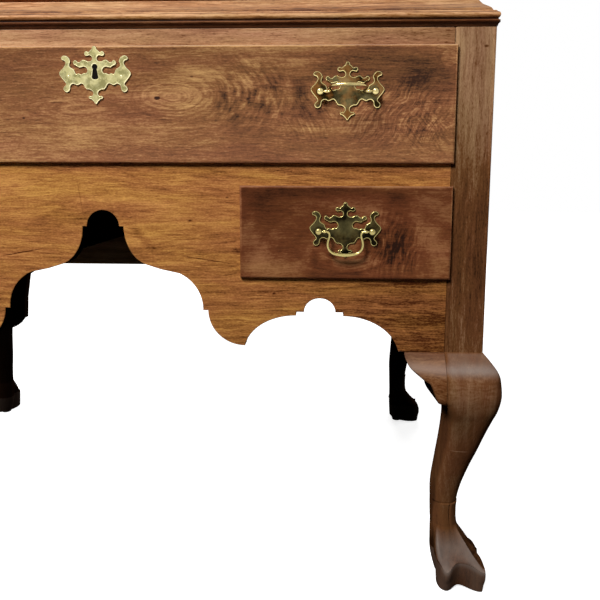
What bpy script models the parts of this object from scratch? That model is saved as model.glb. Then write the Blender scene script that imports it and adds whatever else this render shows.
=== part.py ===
"""A flat-top highboy: a lower case on four cabriole legs carries an upper chest of drawers.

Lengths are in metres. While a piece is made, x runs across the case, y runs back from the lower
case's front face and z runs up from the floor. The root empty then moves the whole piece so that
its origin lies on the floor below the middle of the footprint.
"""

import math

import bmesh
import bpy
import numpy as np
from mathutils import Matrix, Vector

# Frame and clearances
ORIGIN_FROM_FRONT = 0.284
GAP = 0.0003
DRAWER_CLEARANCE = 0.0012

# Lower case
CASE_WIDTH = 1.030
CASE_DEPTH = 0.600
LEG_LENGTH = 0.3433
POST = 0.0515
APRON_THICKNESS = 0.020
SIDE_THICKNESS = 0.020
BACK_THICKNESS = 0.015
BACK_SET_IN = 0.003
BACK_BOTTOM = 0.3655
TOP_RAIL_THICKNESS = 0.022

# Drawer openings of the lower case
SMALL_DRAWER_INNER_X = 0.1897
SMALL_DRAWER_BOTTOM = 0.4468
SMALL_DRAWER_HEIGHT = 0.1171
APRON_RAIL_HEIGHT = 0.0351
LONG_DRAWER_HEIGHT = 0.1442
TOP_RAIL_HEIGHT = 0.0251
SMALL_DRAWER_TOP = SMALL_DRAWER_BOTTOM + SMALL_DRAWER_HEIGHT
LONG_DRAWER_BOTTOM = SMALL_DRAWER_TOP + APRON_RAIL_HEIGHT
LONG_DRAWER_TOP = LONG_DRAWER_BOTTOM + LONG_DRAWER_HEIGHT
CASE_TOP = LONG_DRAWER_TOP + TOP_RAIL_HEIGHT
DUSTBOARD_THICKNESS = 0.015
RUNNER_THICKNESS = 0.010
RUNNER_GUIDE_THICKNESS = 0.020

# Scallops of the apron, from the middle outwards
KEYHOLE_CENTRE_Z = 0.5112
KEYHOLE_RADIUS = 0.0220
KEYHOLE_SHOULDER_X = 0.0280
FLARE_X = 0.0680
FLARE_DEPTH = 0.0536
ARCH_EASE_X = 0.0780
ARCH_EASE_Z = 0.4530
ARCH_TOP_Z = 0.4525
ARCH_CORNER_RADIUS = 0.0540
NOTCH_X = 0.1347
NOTCH_Z = 0.3972
NOTCH_WIDTH = 0.0068
PENDANT_X = 0.1917
PENDANT_Z = 0.3485
LOBE_CENTRE_X = 0.2938
LOBE_Z = 0.3964
LOBE_HALF_WIDTH = 0.0213
LOBE_HEIGHT = 0.0190
LOBE_STEP_WIDTH = 0.0108
LOBE_STEP_Z = 0.3912
OUTER_ARCH_CUT = 10.0
APRON_OVERHANG = 0.0085
KNEE_BLOCK_REACH = 0.0540

# Shaped lower edges of the side boards
SIDE_ARCH_Z = 0.3860
SIDE_ARCH_RUN = 0.0640

# Knee blocks
KNEE_BLOCK_STATIONS = (0.0, 0.0092, 0.0148, 0.0205, 0.0300, 0.0390, 0.0460, 0.0514)
KNEE_BLOCK_BACK = 0.020
KNEE_BLOCK_TIP_SHARE = 0.25
BACK_BLOCK_TOP_REACH = 0.0522
BACK_BLOCK_EDGE = (
    (0.0383, 0.2819),
    (0.0350, 0.2310),
    (0.0280, 0.2278),
    (0.0190, 0.2162),
    (0.0091, 0.2085),
    (0.0000, 0.2050),
)
BACK_BLOCK_THICKNESS = 0.018

# Cabriole leg: height, how far the outer face swells past the post, how far the inner face moves out
LEG_PROFILE = (
    (0.3433, 0.0000, 0.0000),
    (0.3334, 0.0086, 0.0000),
    (0.3195, 0.0186, 0.0000),
    (0.3056, 0.0253, 0.0000),
    (0.2901, 0.0264, 0.0000),
    (0.2780, 0.0254, 0.0000),
    (0.2640, 0.0222, 0.0052),
    (0.2494, 0.0170, 0.0054),
    (0.2249, 0.0092, 0.0026),
    (0.1999, 0.0020, -0.0005),
    (0.1742, -0.0060, -0.0032),
    (0.1395, -0.0152, -0.0065),
    (0.1097, -0.0201, -0.0056),
    (0.0900, -0.0206, -0.0050),
    (0.0760, -0.0195, -0.0043),
)
ANKLE_ROUNDNESS = 2.2
KNEE_ROUNDNESS = 4.0
CORNER_ROUNDNESS = 14.0
CORNER_FADE = 8

# Trifid foot: three toes, the middle one on the leg's diagonal
FOOT_INSET = 0.0115
TOE_TOP_Z = 0.0340
TOE_WIDEST_Z = 0.0260
FOOT_LEVELS = (0.0680, 0.0600, 0.0520, 0.0430, TOE_TOP_Z, TOE_WIDEST_Z, 0.0100, 0.0)
MIDDLE_TOE_REACH = 0.0745
SIDE_TOE_REACH = 0.0530
SIDE_TOE_ANGLE = 48.0
MIDDLE_TOE_SPREAD = 13.0
SIDE_TOE_SPREAD = 12.0
WEB_REACH = 0.0440
HEEL_TOP_Z = 0.0380
HEEL_REACH = 0.0182
HEEL_FLOOR_REACH = 0.0090
TOE_UNDERCUT = 0.0060
SECTION_ANGLES = (0, 10, 21, 34, 47, 61, 90, 120, 150)

# Drawers
LIP_OVERLAP = 0.0030
LIP_THICKNESS = 0.0060
LIP_EDGE = 0.0040
FRONT_THICKNESS = 0.020
TRAY_LAP = 0.008
TRAY_INSET = 0.0005
TRAY_WALL = 0.011
TRAY_BOTTOM = 0.009
TRAY_TOP_DROP = 0.010
DRAWER_BACK_CLEARANCE = 0.047

# Upper case
UPPER_INSET = 0.0320
UPPER_SIDE_THICKNESS = 0.020
UPPER_FLOOR_RISE = 0.0482
UPPER_FLOOR = CASE_TOP + UPPER_FLOOR_RISE
UPPER_ROWS = (0.205, 0.180, 0.155, 0.130)
RAIL_THICKNESS = 0.019
PARTITION_THICKNESS = 0.019
UPPER_BACK_THICKNESS = 0.012
FRIEZE_HEIGHT = 0.060
FRIEZE_THICKNESS = 0.022
TOP_BOARD_THICKNESS = 0.018
CORNICE_DROP = 0.056

# Moulding profiles: distance out from the case face below, and height above the moulding's foot
WAIST_PROFILE = (
    (0.0003, 0.0000),
    (0.0030, 0.0054),
    (0.0030, 0.0078),
    (0.0014, 0.0090),
    (0.0032, 0.0112),
    (0.0032, 0.0160),
    (0.0018, 0.0187),
    (-0.0042, 0.0205),
    (-0.0065, 0.0245),
    (-0.0105, 0.0280),
    (-0.0151, 0.0317),
    (-0.0176, 0.0351),
    (-0.0196, 0.0376),
)
CORNICE_PROFILE = (
    (0.0060, 0.0000),
    (0.0090, 0.0035),
    (0.0060, 0.0080),
    (0.0080, 0.0110),
    (0.0110, 0.0210),
    (0.0180, 0.0330),
    (0.0300, 0.0420),
    (0.0350, 0.0450),
    (0.0350, 0.0490),
    (0.0440, 0.0530),
    (0.0510, 0.0600),
    (0.0540, 0.0660),
    (0.0540, 0.0740),
)

# Brass pulls
PULL_SPACING = 0.0700
PLATE_THICKNESS = 0.0016
PIVOT_STAND = 0.0095
STUD_RADIUS = 0.0031
STUD_HEAD_RADIUS = 0.0053
STUD_HEAD_HEIGHT = 0.0045
STUD_SIDES = 8
BAIL_RADIUS = 0.0015
BAIL_GRIP_RADIUS = 0.0026
BAIL_HOLE_CLEARANCE = 0.0005
BAIL_HOLE_DEPTH = 0.0048
BAIL_TIP_CLEARANCE = 0.0012
RAISED_BAIL_ANGLE = math.radians(98.0)
LONG_PULL_SPREAD = 0.317670
LONG_PULL_X = LONG_PULL_SPREAD * CASE_WIDTH
LONG_PULL_SHARE = 0.60680
SMALL_PULL_SHARE = 0.52263
ESCUTCHEON_DROP = 0.0360
LONG_PULL_Z = LONG_DRAWER_BOTTOM + LONG_PULL_SHARE * LONG_DRAWER_HEIGHT
SMALL_PULL_Z = SMALL_DRAWER_BOTTOM + SMALL_PULL_SHARE * SMALL_DRAWER_HEIGHT
ESCUTCHEON_Z = LONG_DRAWER_TOP - ESCUTCHEON_DROP
UPPER_PULL_SPREAD = 0.296117
UPPER_PULL_X = UPPER_PULL_SPREAD * CASE_WIDTH

# Right half of the pierced plate, from the top finial to the bottom one
PLATE_HALF = (
    (0.0000, 0.0385),
    (0.0042, 0.0350),
    (0.0080, 0.0306),
    (0.0136, 0.0296),
    (0.0124, 0.0256),
    (0.0040, 0.0240),
    (0.0040, 0.0206),
    (0.0080, 0.0190),
    (0.0150, 0.0200),
    (0.0194, 0.0160),
    (0.0254, 0.0206),
    (0.0282, 0.0170),
    (0.0218, 0.0116),
    (0.0140, 0.0126),
    (0.0100, 0.0080),
    (0.0130, 0.0034),
    (0.0246, 0.0034),
    (0.0272, 0.0092),
    (0.0332, 0.0118),
    (0.0324, 0.0200),
    (0.0390, 0.0262),
    (0.0442, 0.0226),
    (0.0384, 0.0166),
    (0.0476, 0.0045),
    (0.0380, -0.0096),
    (0.0424, -0.0152),
    (0.0376, -0.0202),
    (0.0310, -0.0098),
    (0.0170, -0.0094),
    (0.0102, -0.0172),
    (0.0034, -0.0202),
    (0.0094, -0.0262),
    (0.0000, -0.0355),
)

# Half of a hanging bail, from the grip's middle to the pivot, with the wire's share of its radius
BAIL_HALF = (
    (0.0000, -0.0310, 1.00),
    (0.0090, -0.0303, 0.85),
    (0.0160, -0.0284, 0.30),
    (0.0216, -0.0226, 0.15),
    (0.0228, -0.0165, 0.10),
    (0.0206, -0.0034, 0.00),
    (0.0236, 0.0000, 0.00),
)

HALF_WIDTH = CASE_WIDTH / 2
POST_INNER_X = HALF_WIDTH - POST
UPPER_HALF = HALF_WIDTH - UPPER_INSET
UPPER_INNER_X = UPPER_HALF - UPPER_SIDE_THICKNESS
BACK_BOARD_Y = CASE_DEPTH - BACK_SET_IN - BACK_THICKNESS
UPPER_BACK_Y = CASE_DEPTH - BACK_SET_IN - UPPER_BACK_THICKNESS
LOWER_DRAWER_DEPTH = BACK_BOARD_Y - DRAWER_BACK_CLEARANCE
UPPER_DRAWER_DEPTH = UPPER_BACK_Y - UPPER_INSET - DRAWER_BACK_CLEARANCE
FRIEZE_Z = UPPER_FLOOR + sum(UPPER_ROWS) + RAIL_THICKNESS * (len(UPPER_ROWS) - 1)
TOP_BOARD_Z = FRIEZE_Z + FRIEZE_HEIGHT


def clear_scene():
    """Remove every object that is already in the scene."""
    for item in list(bpy.data.objects):
        bpy.data.objects.remove(item, do_unlink=True)


def make_material(name, colour, roughness, metallic=0.0):
    """Make a Principled material of one colour."""
    material = bpy.data.materials.new(name)
    material.use_nodes = True
    shader = material.node_tree.nodes["Principled BSDF"]
    shader.inputs["Base Color"].default_value = (*colour, 1.0)
    shader.inputs["Roughness"].default_value = roughness
    shader.inputs["Metallic"].default_value = metallic
    return material


def evaluated_mesh(item):
    """Give an object's mesh as its modifiers leave it, with loose caps welded."""
    bpy.context.view_layer.update()
    depsgraph = bpy.context.evaluated_depsgraph_get()
    mesh = bpy.data.meshes.new_from_object(item.evaluated_get(depsgraph))
    shape = bmesh.new()
    shape.from_mesh(mesh)
    bmesh.ops.remove_doubles(shape, verts=shape.verts, dist=0.00001)
    bmesh.ops.recalc_face_normals(shape, faces=shape.faces)
    shape.to_mesh(mesh)
    shape.free()
    return mesh


def helper_object(name, data):
    """Link an object that is only needed while a mesh is worked out."""
    item = bpy.data.objects.new(name, data)
    bpy.context.scene.collection.objects.link(item)
    return item


def combined(base, other, operation):
    """Union or difference of two closed meshes."""
    first = helper_object("base_shape", base)
    second = helper_object("other_shape", other)
    modifier = first.modifiers.new("combine", "BOOLEAN")
    modifier.operation = operation
    modifier.solver = "EXACT"
    modifier.object = second
    mesh = evaluated_mesh(first)
    bpy.data.objects.remove(first)
    bpy.data.objects.remove(second)
    return mesh


def box_mesh(name, low, high):
    """A box between two corners."""
    low, high = Vector(low), Vector(high)
    shape = bmesh.new()
    size = Matrix.Diagonal((*(high - low), 1.0))
    bmesh.ops.create_cube(shape, size=1.0, matrix=Matrix.Translation((low + high) / 2) @ size)
    mesh = bpy.data.meshes.new(name)
    shape.to_mesh(mesh)
    shape.free()
    return mesh


def loft_mesh(name, rings):
    """A closed body through rings of equally many points, with flat ends."""
    rings = np.asarray(rings, dtype=float)
    count, points = rings.shape[:2]
    shape = bmesh.new()
    grid = [[shape.verts.new(point) for point in ring] for ring in rings]
    for lower, upper in zip(grid, grid[1:]):
        for step in range(points):
            after = (step + 1) % points
            shape.faces.new((lower[step], lower[after], upper[after], upper[step]))
    shape.faces.new(list(reversed(grid[0])))
    shape.faces.new(grid[count - 1])
    bmesh.ops.recalc_face_normals(shape, faces=shape.faces)
    mesh = bpy.data.meshes.new(name)
    shape.to_mesh(mesh)
    shape.free()
    return mesh


def board_mesh(name, loops, thickness):
    """A flat board whose outline stands in the x-z plane and whose thickness runs back from y = 0."""
    curve = bpy.data.curves.new(name, "CURVE")
    curve.dimensions = "2D"
    curve.fill_mode = "BOTH"
    curve.extrude = thickness / 2
    for loop in loops:
        spline = curve.splines.new("POLY")
        spline.points.add(len(loop) - 1)
        for point, (across, up) in zip(spline.points, loop):
            point.co = (across, up, 0.0, 1.0)
        spline.use_cyclic_u = True
    item = helper_object(name, curve)
    mesh = evaluated_mesh(item)
    bpy.data.objects.remove(item)
    stand_up = Matrix.Rotation(math.pi / 2, 4, "X")
    mesh.transform(Matrix.Translation((0.0, thickness / 2, 0.0)) @ stand_up)
    return mesh


def turned_mesh(name, profile, sides):
    """A turned shape about z from (radius, height) points that run from top to bottom."""
    mesh = bpy.data.meshes.new(name)
    points = [(radius, 0.0, height) for radius, height in profile]
    mesh.from_pydata(points, [(i, i + 1) for i in range(len(points) - 1)], [])
    item = helper_object(name, mesh)
    screw = item.modifiers.new("turn", "SCREW")
    screw.steps = sides
    screw.render_steps = sides
    screw.use_merge_vertices = True
    screw.merge_threshold = 0.00001
    turned = evaluated_mesh(item)
    bpy.data.objects.remove(item)
    return turned


def arc(centre, radii, start, stop, steps):
    """Points along an ellipse's arc, angles in degrees, both ends included."""
    angles = np.radians(np.linspace(start, stop, steps + 1))
    across = centre[0] + radii[0] * np.cos(angles)
    up = centre[1] + radii[1] * np.sin(angles)
    return list(zip(across.tolist(), up.tolist()))


def smooth_mesh(mesh, angle=40.0):
    """Shade a rounded mesh smooth, with creases where faces meet steeply."""
    mesh.shade_smooth()
    mesh.set_sharp_from_angle(angle=math.radians(angle))
    return mesh


class Workshop:
    """Holds the collection, the root and the finishes, and turns meshes into named pieces."""

    def __init__(self):
        self.collection = bpy.data.collections.new("highboy")
        bpy.context.scene.collection.children.link(self.collection)
        self.root = self.empty("highboy_root", (0.0, -ORIGIN_FROM_FRONT, 0.0), None)
        self.walnut = make_material("walnut_case", (0.155, 0.062, 0.022), 0.45)
        self.figured = make_material("figured_walnut_front", (0.165, 0.055, 0.022), 0.42)
        self.dark = make_material("dark_walnut_leg", (0.090, 0.036, 0.014), 0.40)
        self.pine = make_material("old_pine", (0.300, 0.170, 0.070), 0.75)
        self.brass = make_material("aged_brass", (0.560, 0.440, 0.180), 0.35, 1.0)

    def empty(self, name, location, parent):
        """Add an empty that carries pieces."""
        item = bpy.data.objects.new(name, None)
        item.location = location
        item.parent = parent
        self.collection.objects.link(item)
        return item

    def piece(self, name, mesh, material, location=(0.0, 0.0, 0.0), parent=None):
        """Add one named piece; a mesh that is shared keeps its first material."""
        if not mesh.materials:
            mesh.materials.append(material)
        item = bpy.data.objects.new(name, mesh)
        item.location = location
        item.parent = parent or self.root
        self.collection.objects.link(item)
        return item


def apron_half_outline():
    """Right half of the apron's lower edge, from the keyhole's top to the post."""
    lobe_outer = LOBE_HALF_WIDTH + LOBE_STEP_WIDTH
    left_step, right_step = LOBE_CENTRE_X - lobe_outer, LOBE_CENTRE_X + lobe_outer
    knee_x = POST_INNER_X - KNEE_BLOCK_REACH - APRON_OVERHANG
    cut_cos, cut_sin = math.cos(math.radians(OUTER_ARCH_CUT)), math.sin(math.radians(OUTER_ARCH_CUT))
    points = arc((0.0, KEYHOLE_CENTRE_Z), (KEYHOLE_RADIUS, KEYHOLE_RADIUS), 90, 0, 6)
    radii = (FLARE_X - KEYHOLE_SHOULDER_X, FLARE_DEPTH)
    points += arc((FLARE_X, KEYHOLE_CENTRE_Z), radii, 180, 256, 6)
    points.append((ARCH_EASE_X, ARCH_EASE_Z))
    centre = (NOTCH_X - ARCH_CORNER_RADIUS, ARCH_TOP_Z - ARCH_CORNER_RADIUS)
    points += arc(centre, (ARCH_CORNER_RADIUS, ARCH_CORNER_RADIUS), 66, 6, 6)
    points.append((NOTCH_X, NOTCH_Z))
    radii = (PENDANT_X - NOTCH_X - NOTCH_WIDTH, NOTCH_Z - PENDANT_Z)
    points += arc((PENDANT_X, NOTCH_Z), radii, 180, 270, 7)
    rise = (LOBE_STEP_Z - PENDANT_Z) / (1.0 - cut_sin)
    radii = ((left_step - PENDANT_X) / cut_cos, rise)
    points += arc((left_step, LOBE_STEP_Z - rise), radii, 178 - OUTER_ARCH_CUT, 90, 7)
    points.append((left_step, LOBE_Z))
    points += arc((LOBE_CENTRE_X, LOBE_Z), (LOBE_HALF_WIDTH, LOBE_HEIGHT), 180, 0, 8)
    points.append((right_step, LOBE_Z))
    rise = (LOBE_STEP_Z - LEG_LENGTH) / (1.0 - cut_sin)
    radii = ((knee_x - right_step) / cut_cos, rise)
    points += arc((right_step, LOBE_STEP_Z - rise), radii, 90, OUTER_ARCH_CUT, 7)
    points.append((POST_INNER_X - GAP, LEG_LENGTH))
    return points


def add_apron(shop):
    """The wide front board, scalloped below and notched at each end for a small drawer."""
    end = POST_INNER_X - GAP
    right = apron_half_outline()
    right += [
        (end, SMALL_DRAWER_BOTTOM),
        (SMALL_DRAWER_INNER_X, SMALL_DRAWER_BOTTOM),
        (SMALL_DRAWER_INNER_X, SMALL_DRAWER_TOP),
        (end, SMALL_DRAWER_TOP),
        (end, LONG_DRAWER_BOTTOM),
    ]
    left = [(-across, up) for across, up in reversed(right[1:])]
    shop.piece("front_apron", board_mesh("front_apron", [right + left], APRON_THICKNESS), shop.walnut)


def add_lower_case(shop):
    """Top rail, shaped sides, back board and the frame that the lower drawers run on."""
    inner = POST_INNER_X - GAP
    rail_low = (-inner, 0.0, LONG_DRAWER_TOP)
    rail_high = (inner, TOP_RAIL_THICKNESS, CASE_TOP)
    shop.piece("lower_top_rail", box_mesh("lower_top_rail", rail_low, rail_high), shop.walnut)

    front, back = POST + GAP, CASE_DEPTH - POST - GAP
    foot = front + KNEE_BLOCK_REACH
    arch_in, arch_out = foot + SIDE_ARCH_RUN, back - KNEE_BLOCK_REACH - SIDE_ARCH_RUN
    radii = (SIDE_ARCH_RUN, SIDE_ARCH_Z - LEG_LENGTH)
    outline = [(front, LEG_LENGTH)]
    outline += arc((arch_in, LEG_LENGTH), radii, 180, 90, 6)
    outline += arc((arch_out, LEG_LENGTH), radii, 90, 0, 6)
    outline += [(back, LEG_LENGTH), (back, CASE_TOP), (front, CASE_TOP)]
    for name, outer in (("lower_side_left", -HALF_WIDTH), ("lower_side_right", HALF_WIDTH)):
        mesh = board_mesh(name, [outline], SIDE_THICKNESS)
        turn = Matrix.Rotation(math.pi / 2, 4, "Z")
        shift = outer if outer > 0 else outer + SIDE_THICKNESS
        mesh.transform(Matrix.Translation((shift, 0.0, 0.0)) @ turn)
        shop.piece(name, mesh, shop.walnut)

    low = (-inner, BACK_BOARD_Y, BACK_BOTTOM)
    high = (inner, BACK_BOARD_Y + BACK_THICKNESS, CASE_TOP)
    shop.piece("lower_back_board", box_mesh("lower_back_board", low, high), shop.pine)

    under = LONG_DRAWER_BOTTOM - DUSTBOARD_THICKNESS
    guide_inner = SMALL_DRAWER_INNER_X - RUNNER_GUIDE_THICKNESS
    right = [
        (inner, LONG_DRAWER_BOTTOM),
        (inner, under),
        (SMALL_DRAWER_INNER_X, under),
        (SMALL_DRAWER_INNER_X, SMALL_DRAWER_BOTTOM),
        (inner, SMALL_DRAWER_BOTTOM),
        (inner, SMALL_DRAWER_BOTTOM - RUNNER_THICKNESS),
        (guide_inner, SMALL_DRAWER_BOTTOM - RUNNER_THICKNESS),
        (guide_inner, under),
    ]
    outline = right + [(-across, up) for across, up in reversed(right)]
    start = APRON_THICKNESS + GAP
    mesh = board_mesh("drawer_runner_frame", [outline], BACK_BOARD_Y - GAP - start)
    mesh.transform(Matrix.Translation((0.0, start, 0.0)))
    shop.piece("drawer_runner_frame", mesh, shop.pine)


def leg_curves(height):
    """Outer swell and inner shift of the leg at a height."""
    rows = np.array(LEG_PROFILE[::-1])
    outer = np.interp(height, rows[:, 0], rows[:, 1])
    inner = np.interp(height, rows[:, 0], rows[:, 2])
    return outer, inner


def section_angles():
    """Angles round the leg, in radians from its outward diagonal, dense over the toes."""
    half = np.array(SECTION_ANGLES)
    return np.radians(np.concatenate([half, [180], -half[:0:-1]]))


def squared_radius(angles, outer_power, other_power):
    """Radius of a rounded square of half-width 1, with its outer corner rounded by itself."""
    world = angles + math.pi / 4
    power = np.where(np.abs(angles) < math.pi / 4, outer_power, other_power)
    total = np.abs(np.cos(world)) ** power + np.abs(np.sin(world)) ** power
    return total ** (-1.0 / power)


def leg_section(height):
    """Points of the leg above the foot, outward along each case face from the post's centre."""
    angles = section_angles()
    outer, inner = leg_curves(height)
    half = (POST + outer - inner) / 2
    middle = (outer + inner) / 2
    knee_foot = LEG_PROFILE[5][0]
    ankle = LEG_PROFILE[-1][0]
    share = np.clip((height - ankle) / (knee_foot - ankle), 0.0, 1.0)
    outer_power = ANKLE_ROUNDNESS + (KNEE_ROUNDNESS - ANKLE_ROUNDNESS) * share
    other_power = ANKLE_ROUNDNESS + (CORNER_ROUNDNESS - ANKLE_ROUNDNESS) * share**CORNER_FADE
    if height >= knee_foot:
        other_power = 200.0
    radius = half * squared_radius(angles, outer_power, other_power)
    world = angles + math.pi / 4
    return middle + radius * np.cos(world), middle + radius * np.sin(world)


def foot_section(height):
    """Points of the trifid foot: a heel, a web in front and three toes that spread from the ankle."""
    angles = section_angles()
    degrees = np.degrees(angles)
    ankle_height = LEG_PROFILE[-1][0]
    ankle_radius = (POST + LEG_PROFILE[-1][1] - LEG_PROFILE[-1][2]) / 2
    spread = np.clip((ankle_height - height) / (ankle_height - TOE_TOP_Z), 0.0, 1.0) ** 1.2
    front = np.clip((86.0 - np.abs(degrees)) / 34.0, 0.0, 1.0)
    heel = np.interp(height, (0.0, HEEL_TOP_Z), (HEEL_FLOOR_REACH, HEEL_REACH))
    web = heel + (WEB_REACH - heel) * front
    middle = (MIDDLE_TOE_REACH - WEB_REACH) * np.exp(-((degrees / MIDDLE_TOE_SPREAD) ** 2))
    offset = (np.abs(degrees) - SIDE_TOE_ANGLE) / SIDE_TOE_SPREAD
    side = (SIDE_TOE_REACH - WEB_REACH) * np.exp(-(offset**2))
    full = web + middle + side
    under = TOE_UNDERCUT * np.clip(1.0 - height / TOE_WIDEST_Z, 0.0, 1.0) ** 2
    radius = ankle_radius + (full - ankle_radius) * spread - under * front
    world = angles + math.pi / 4
    return -FOOT_INSET + radius * np.cos(world), -FOOT_INSET + radius * np.sin(world)


def knee_block_lower_edge(reach):
    """Height of a knee block's shaped lower edge at a distance from the leg."""
    distance = np.array((*KNEE_BLOCK_STATIONS, KNEE_BLOCK_REACH))
    below = np.array((0.0653, 0.0587, 0.0493, 0.0393, 0.0338, 0.0271, 0.0193, 0.0106, 0.0090))
    return LEG_LENGTH - np.interp(reach, distance, below)


def knee_block_rings(start):
    """Rings of a knee block from inside the leg outwards: distance from the leg, swell, height."""
    stations = (start, *KNEE_BLOCK_STATIONS[1:], KNEE_BLOCK_REACH)
    rings = []
    for reach in stations:
        travel = max(reach, 0.0) / KNEE_BLOCK_REACH
        share = 1.0 - (1.0 - KNEE_BLOCK_TIP_SHARE) * travel**1.5
        top = LEG_LENGTH - GAP
        heights = np.linspace(top, knee_block_lower_edge(max(reach, 0.0)), 6)
        swell = leg_curves(heights)[0] * share
        ring = [(reach, -KNEE_BLOCK_BACK, top)]
        ring += [(reach, out, up) for out, up in zip(swell, heights)]
        ring.append((reach, -KNEE_BLOCK_BACK, heights[-1]))
        rings.append(ring)
    return np.array(rings)


def add_legs(shop):
    """Four legs, each one timber from post to foot, with its side return, and the separate blocks."""
    levels = [row[0] for row in LEG_PROFILE[1:]]
    sections = [(CASE_TOP, leg_section(LEG_LENGTH)), (LEG_LENGTH, leg_section(LEG_LENGTH))]
    sections += [(height, leg_section(height)) for height in levels]
    sections += [(height, foot_section(height)) for height in FOOT_LEVELS]
    rings = np.array([np.stack([*plan, np.full_like(plan[0], up)], 1) for up, plan in sections])
    side_return = knee_block_rings(-0.002)
    front_block = knee_block_rings(GAP)
    for depth_name in ("front", "back"):
        for side_name, side in (("left", -1.0), ("right", 1.0)):
            placed = to_case(rings[..., 0], rings[..., 1], rings[..., 2], side, depth_name)
            leg = loft_mesh("leg", placed)
            out = POST / 2 + side_return[..., 1]
            along = -POST / 2 - side_return[..., 0]
            placed = to_case(out, along, side_return[..., 2], side, depth_name)
            leg = combined(leg, loft_mesh("return", placed), "UNION")
            shop.piece(f"leg_{depth_name}_{side_name}", smooth_mesh(leg), shop.dark)
            if depth_name == "front":
                out = -POST / 2 - front_block[..., 0]
                along = POST / 2 + front_block[..., 1]
                placed = to_case(out, along, front_block[..., 2], side, depth_name)
                block = smooth_mesh(loft_mesh("block", placed))
            else:
                block = back_knee_block(side)
            shop.piece(f"knee_block_{depth_name}_{side_name}", block, shop.dark)


def to_case(out_x, out_y, height, side, depth_name):
    """Turn a leg's own outward distances into places in the case."""
    across = side * (HALF_WIDTH - POST / 2 + out_x)
    if depth_name == "front":
        back = POST / 2 - out_y
    else:
        back = CASE_DEPTH - POST / 2 + out_y
    return np.stack([across, back, height], -1)


def back_knee_block(side):
    """A flat bracket below the back board, leaning inwards to a step, then hollowed to the leg."""
    outer = POST_INNER_X - GAP
    outline = [(outer - BACK_BLOCK_TOP_REACH, BACK_BOTTOM - GAP)]
    outline += [(outer - reach, up) for reach, up in BACK_BLOCK_EDGE]
    outline.append((outer, BACK_BOTTOM - GAP))
    outline = [(side * across, up) for across, up in outline]
    mesh = board_mesh("block", [outline], BACK_BLOCK_THICKNESS)
    mesh.transform(Matrix.Translation((0.0, CASE_DEPTH - BACK_SET_IN - BACK_BLOCK_THICKNESS, 0.0)))
    return mesh


def moulding_rings(profile, foot_z, half_width, front_y, back_y, inner):
    """Rings of a mitred moulding that runs along the left side, the front and the right side."""
    section = [(inner, 0.0), *profile, (inner, profile[-1][1])]
    out = np.array([point[0] for point in section])
    up = np.array([point[1] for point in section]) + foot_z
    depth = np.full(len(section), back_y)
    return [
        np.stack([-(half_width + out), depth, up], 1),
        np.stack([-(half_width + out), front_y - out, up], 1),
        np.stack([half_width + out, front_y - out, up], 1),
        np.stack([half_width + out, depth, up], 1),
    ]


def add_mouldings(shop):
    """The waist moulding on the lower case and the cornice round the upper one."""
    waist_inner = GAP - UPPER_INSET
    rings = moulding_rings(WAIST_PROFILE, CASE_TOP + GAP, HALF_WIDTH, 0.0, CASE_DEPTH, waist_inner)
    shop.piece("waist_moulding", loft_mesh("waist_moulding", rings), shop.walnut)
    foot = TOP_BOARD_Z - CORNICE_DROP
    rings = moulding_rings(CORNICE_PROFILE, foot, UPPER_HALF, UPPER_INSET, CASE_DEPTH, GAP)
    shop.piece("cornice", loft_mesh("cornice", rings), shop.walnut)


def add_upper_case(shop):
    """Sides, back, dustboards, partition, frieze rail and top of the upper chest."""
    base = CASE_TOP + GAP
    inner = UPPER_INNER_X - GAP
    for name, side in (("upper_side_left", -1.0), ("upper_side_right", 1.0)):
        ends = sorted((side * UPPER_INNER_X, side * UPPER_HALF))
        low = (ends[0], UPPER_INSET, base)
        high = (ends[1], CASE_DEPTH, TOP_BOARD_Z - GAP)
        shop.piece(name, box_mesh(name, low, high), shop.walnut)
    low = (-inner, UPPER_BACK_Y, base)
    high = (inner, UPPER_BACK_Y + UPPER_BACK_THICKNESS, TOP_BOARD_Z - GAP)
    shop.piece("upper_back_board", box_mesh("upper_back_board", low, high), shop.pine)

    level = UPPER_FLOOR
    names = ["upper_bottom_board"]
    names += [f"dustboard_{row}" for row in range(1, len(UPPER_ROWS))]
    for name, row in zip(names, UPPER_ROWS):
        low = (-inner, UPPER_INSET, level - RAIL_THICKNESS)
        high = (inner, UPPER_BACK_Y - GAP, level)
        shop.piece(name, box_mesh(name, low, high), shop.walnut)
        level += row + RAIL_THICKNESS
    half = PARTITION_THICKNESS / 2
    low = (-half, UPPER_INSET, FRIEZE_Z - UPPER_ROWS[-1] + GAP)
    high = (half, UPPER_BACK_Y - GAP, FRIEZE_Z - GAP)
    shop.piece("drawer_partition", box_mesh("drawer_partition", low, high), shop.walnut)
    low = (-inner, UPPER_INSET, FRIEZE_Z)
    high = (inner, UPPER_INSET + FRIEZE_THICKNESS, TOP_BOARD_Z - GAP)
    shop.piece("frieze_rail", box_mesh("frieze_rail", low, high), shop.walnut)
    low = (-UPPER_HALF, UPPER_INSET, TOP_BOARD_Z)
    high = (UPPER_HALF, CASE_DEPTH, TOP_BOARD_Z + TOP_BOARD_THICKNESS)
    shop.piece("top_board", box_mesh("top_board", low, high), shop.walnut)


def rectangle(half_width, low, high, depth):
    """Corners of an upright rectangle at a depth."""
    return [
        (-half_width, depth, low),
        (half_width, depth, low),
        (half_width, depth, high),
        (-half_width, depth, high),
    ]


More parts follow.
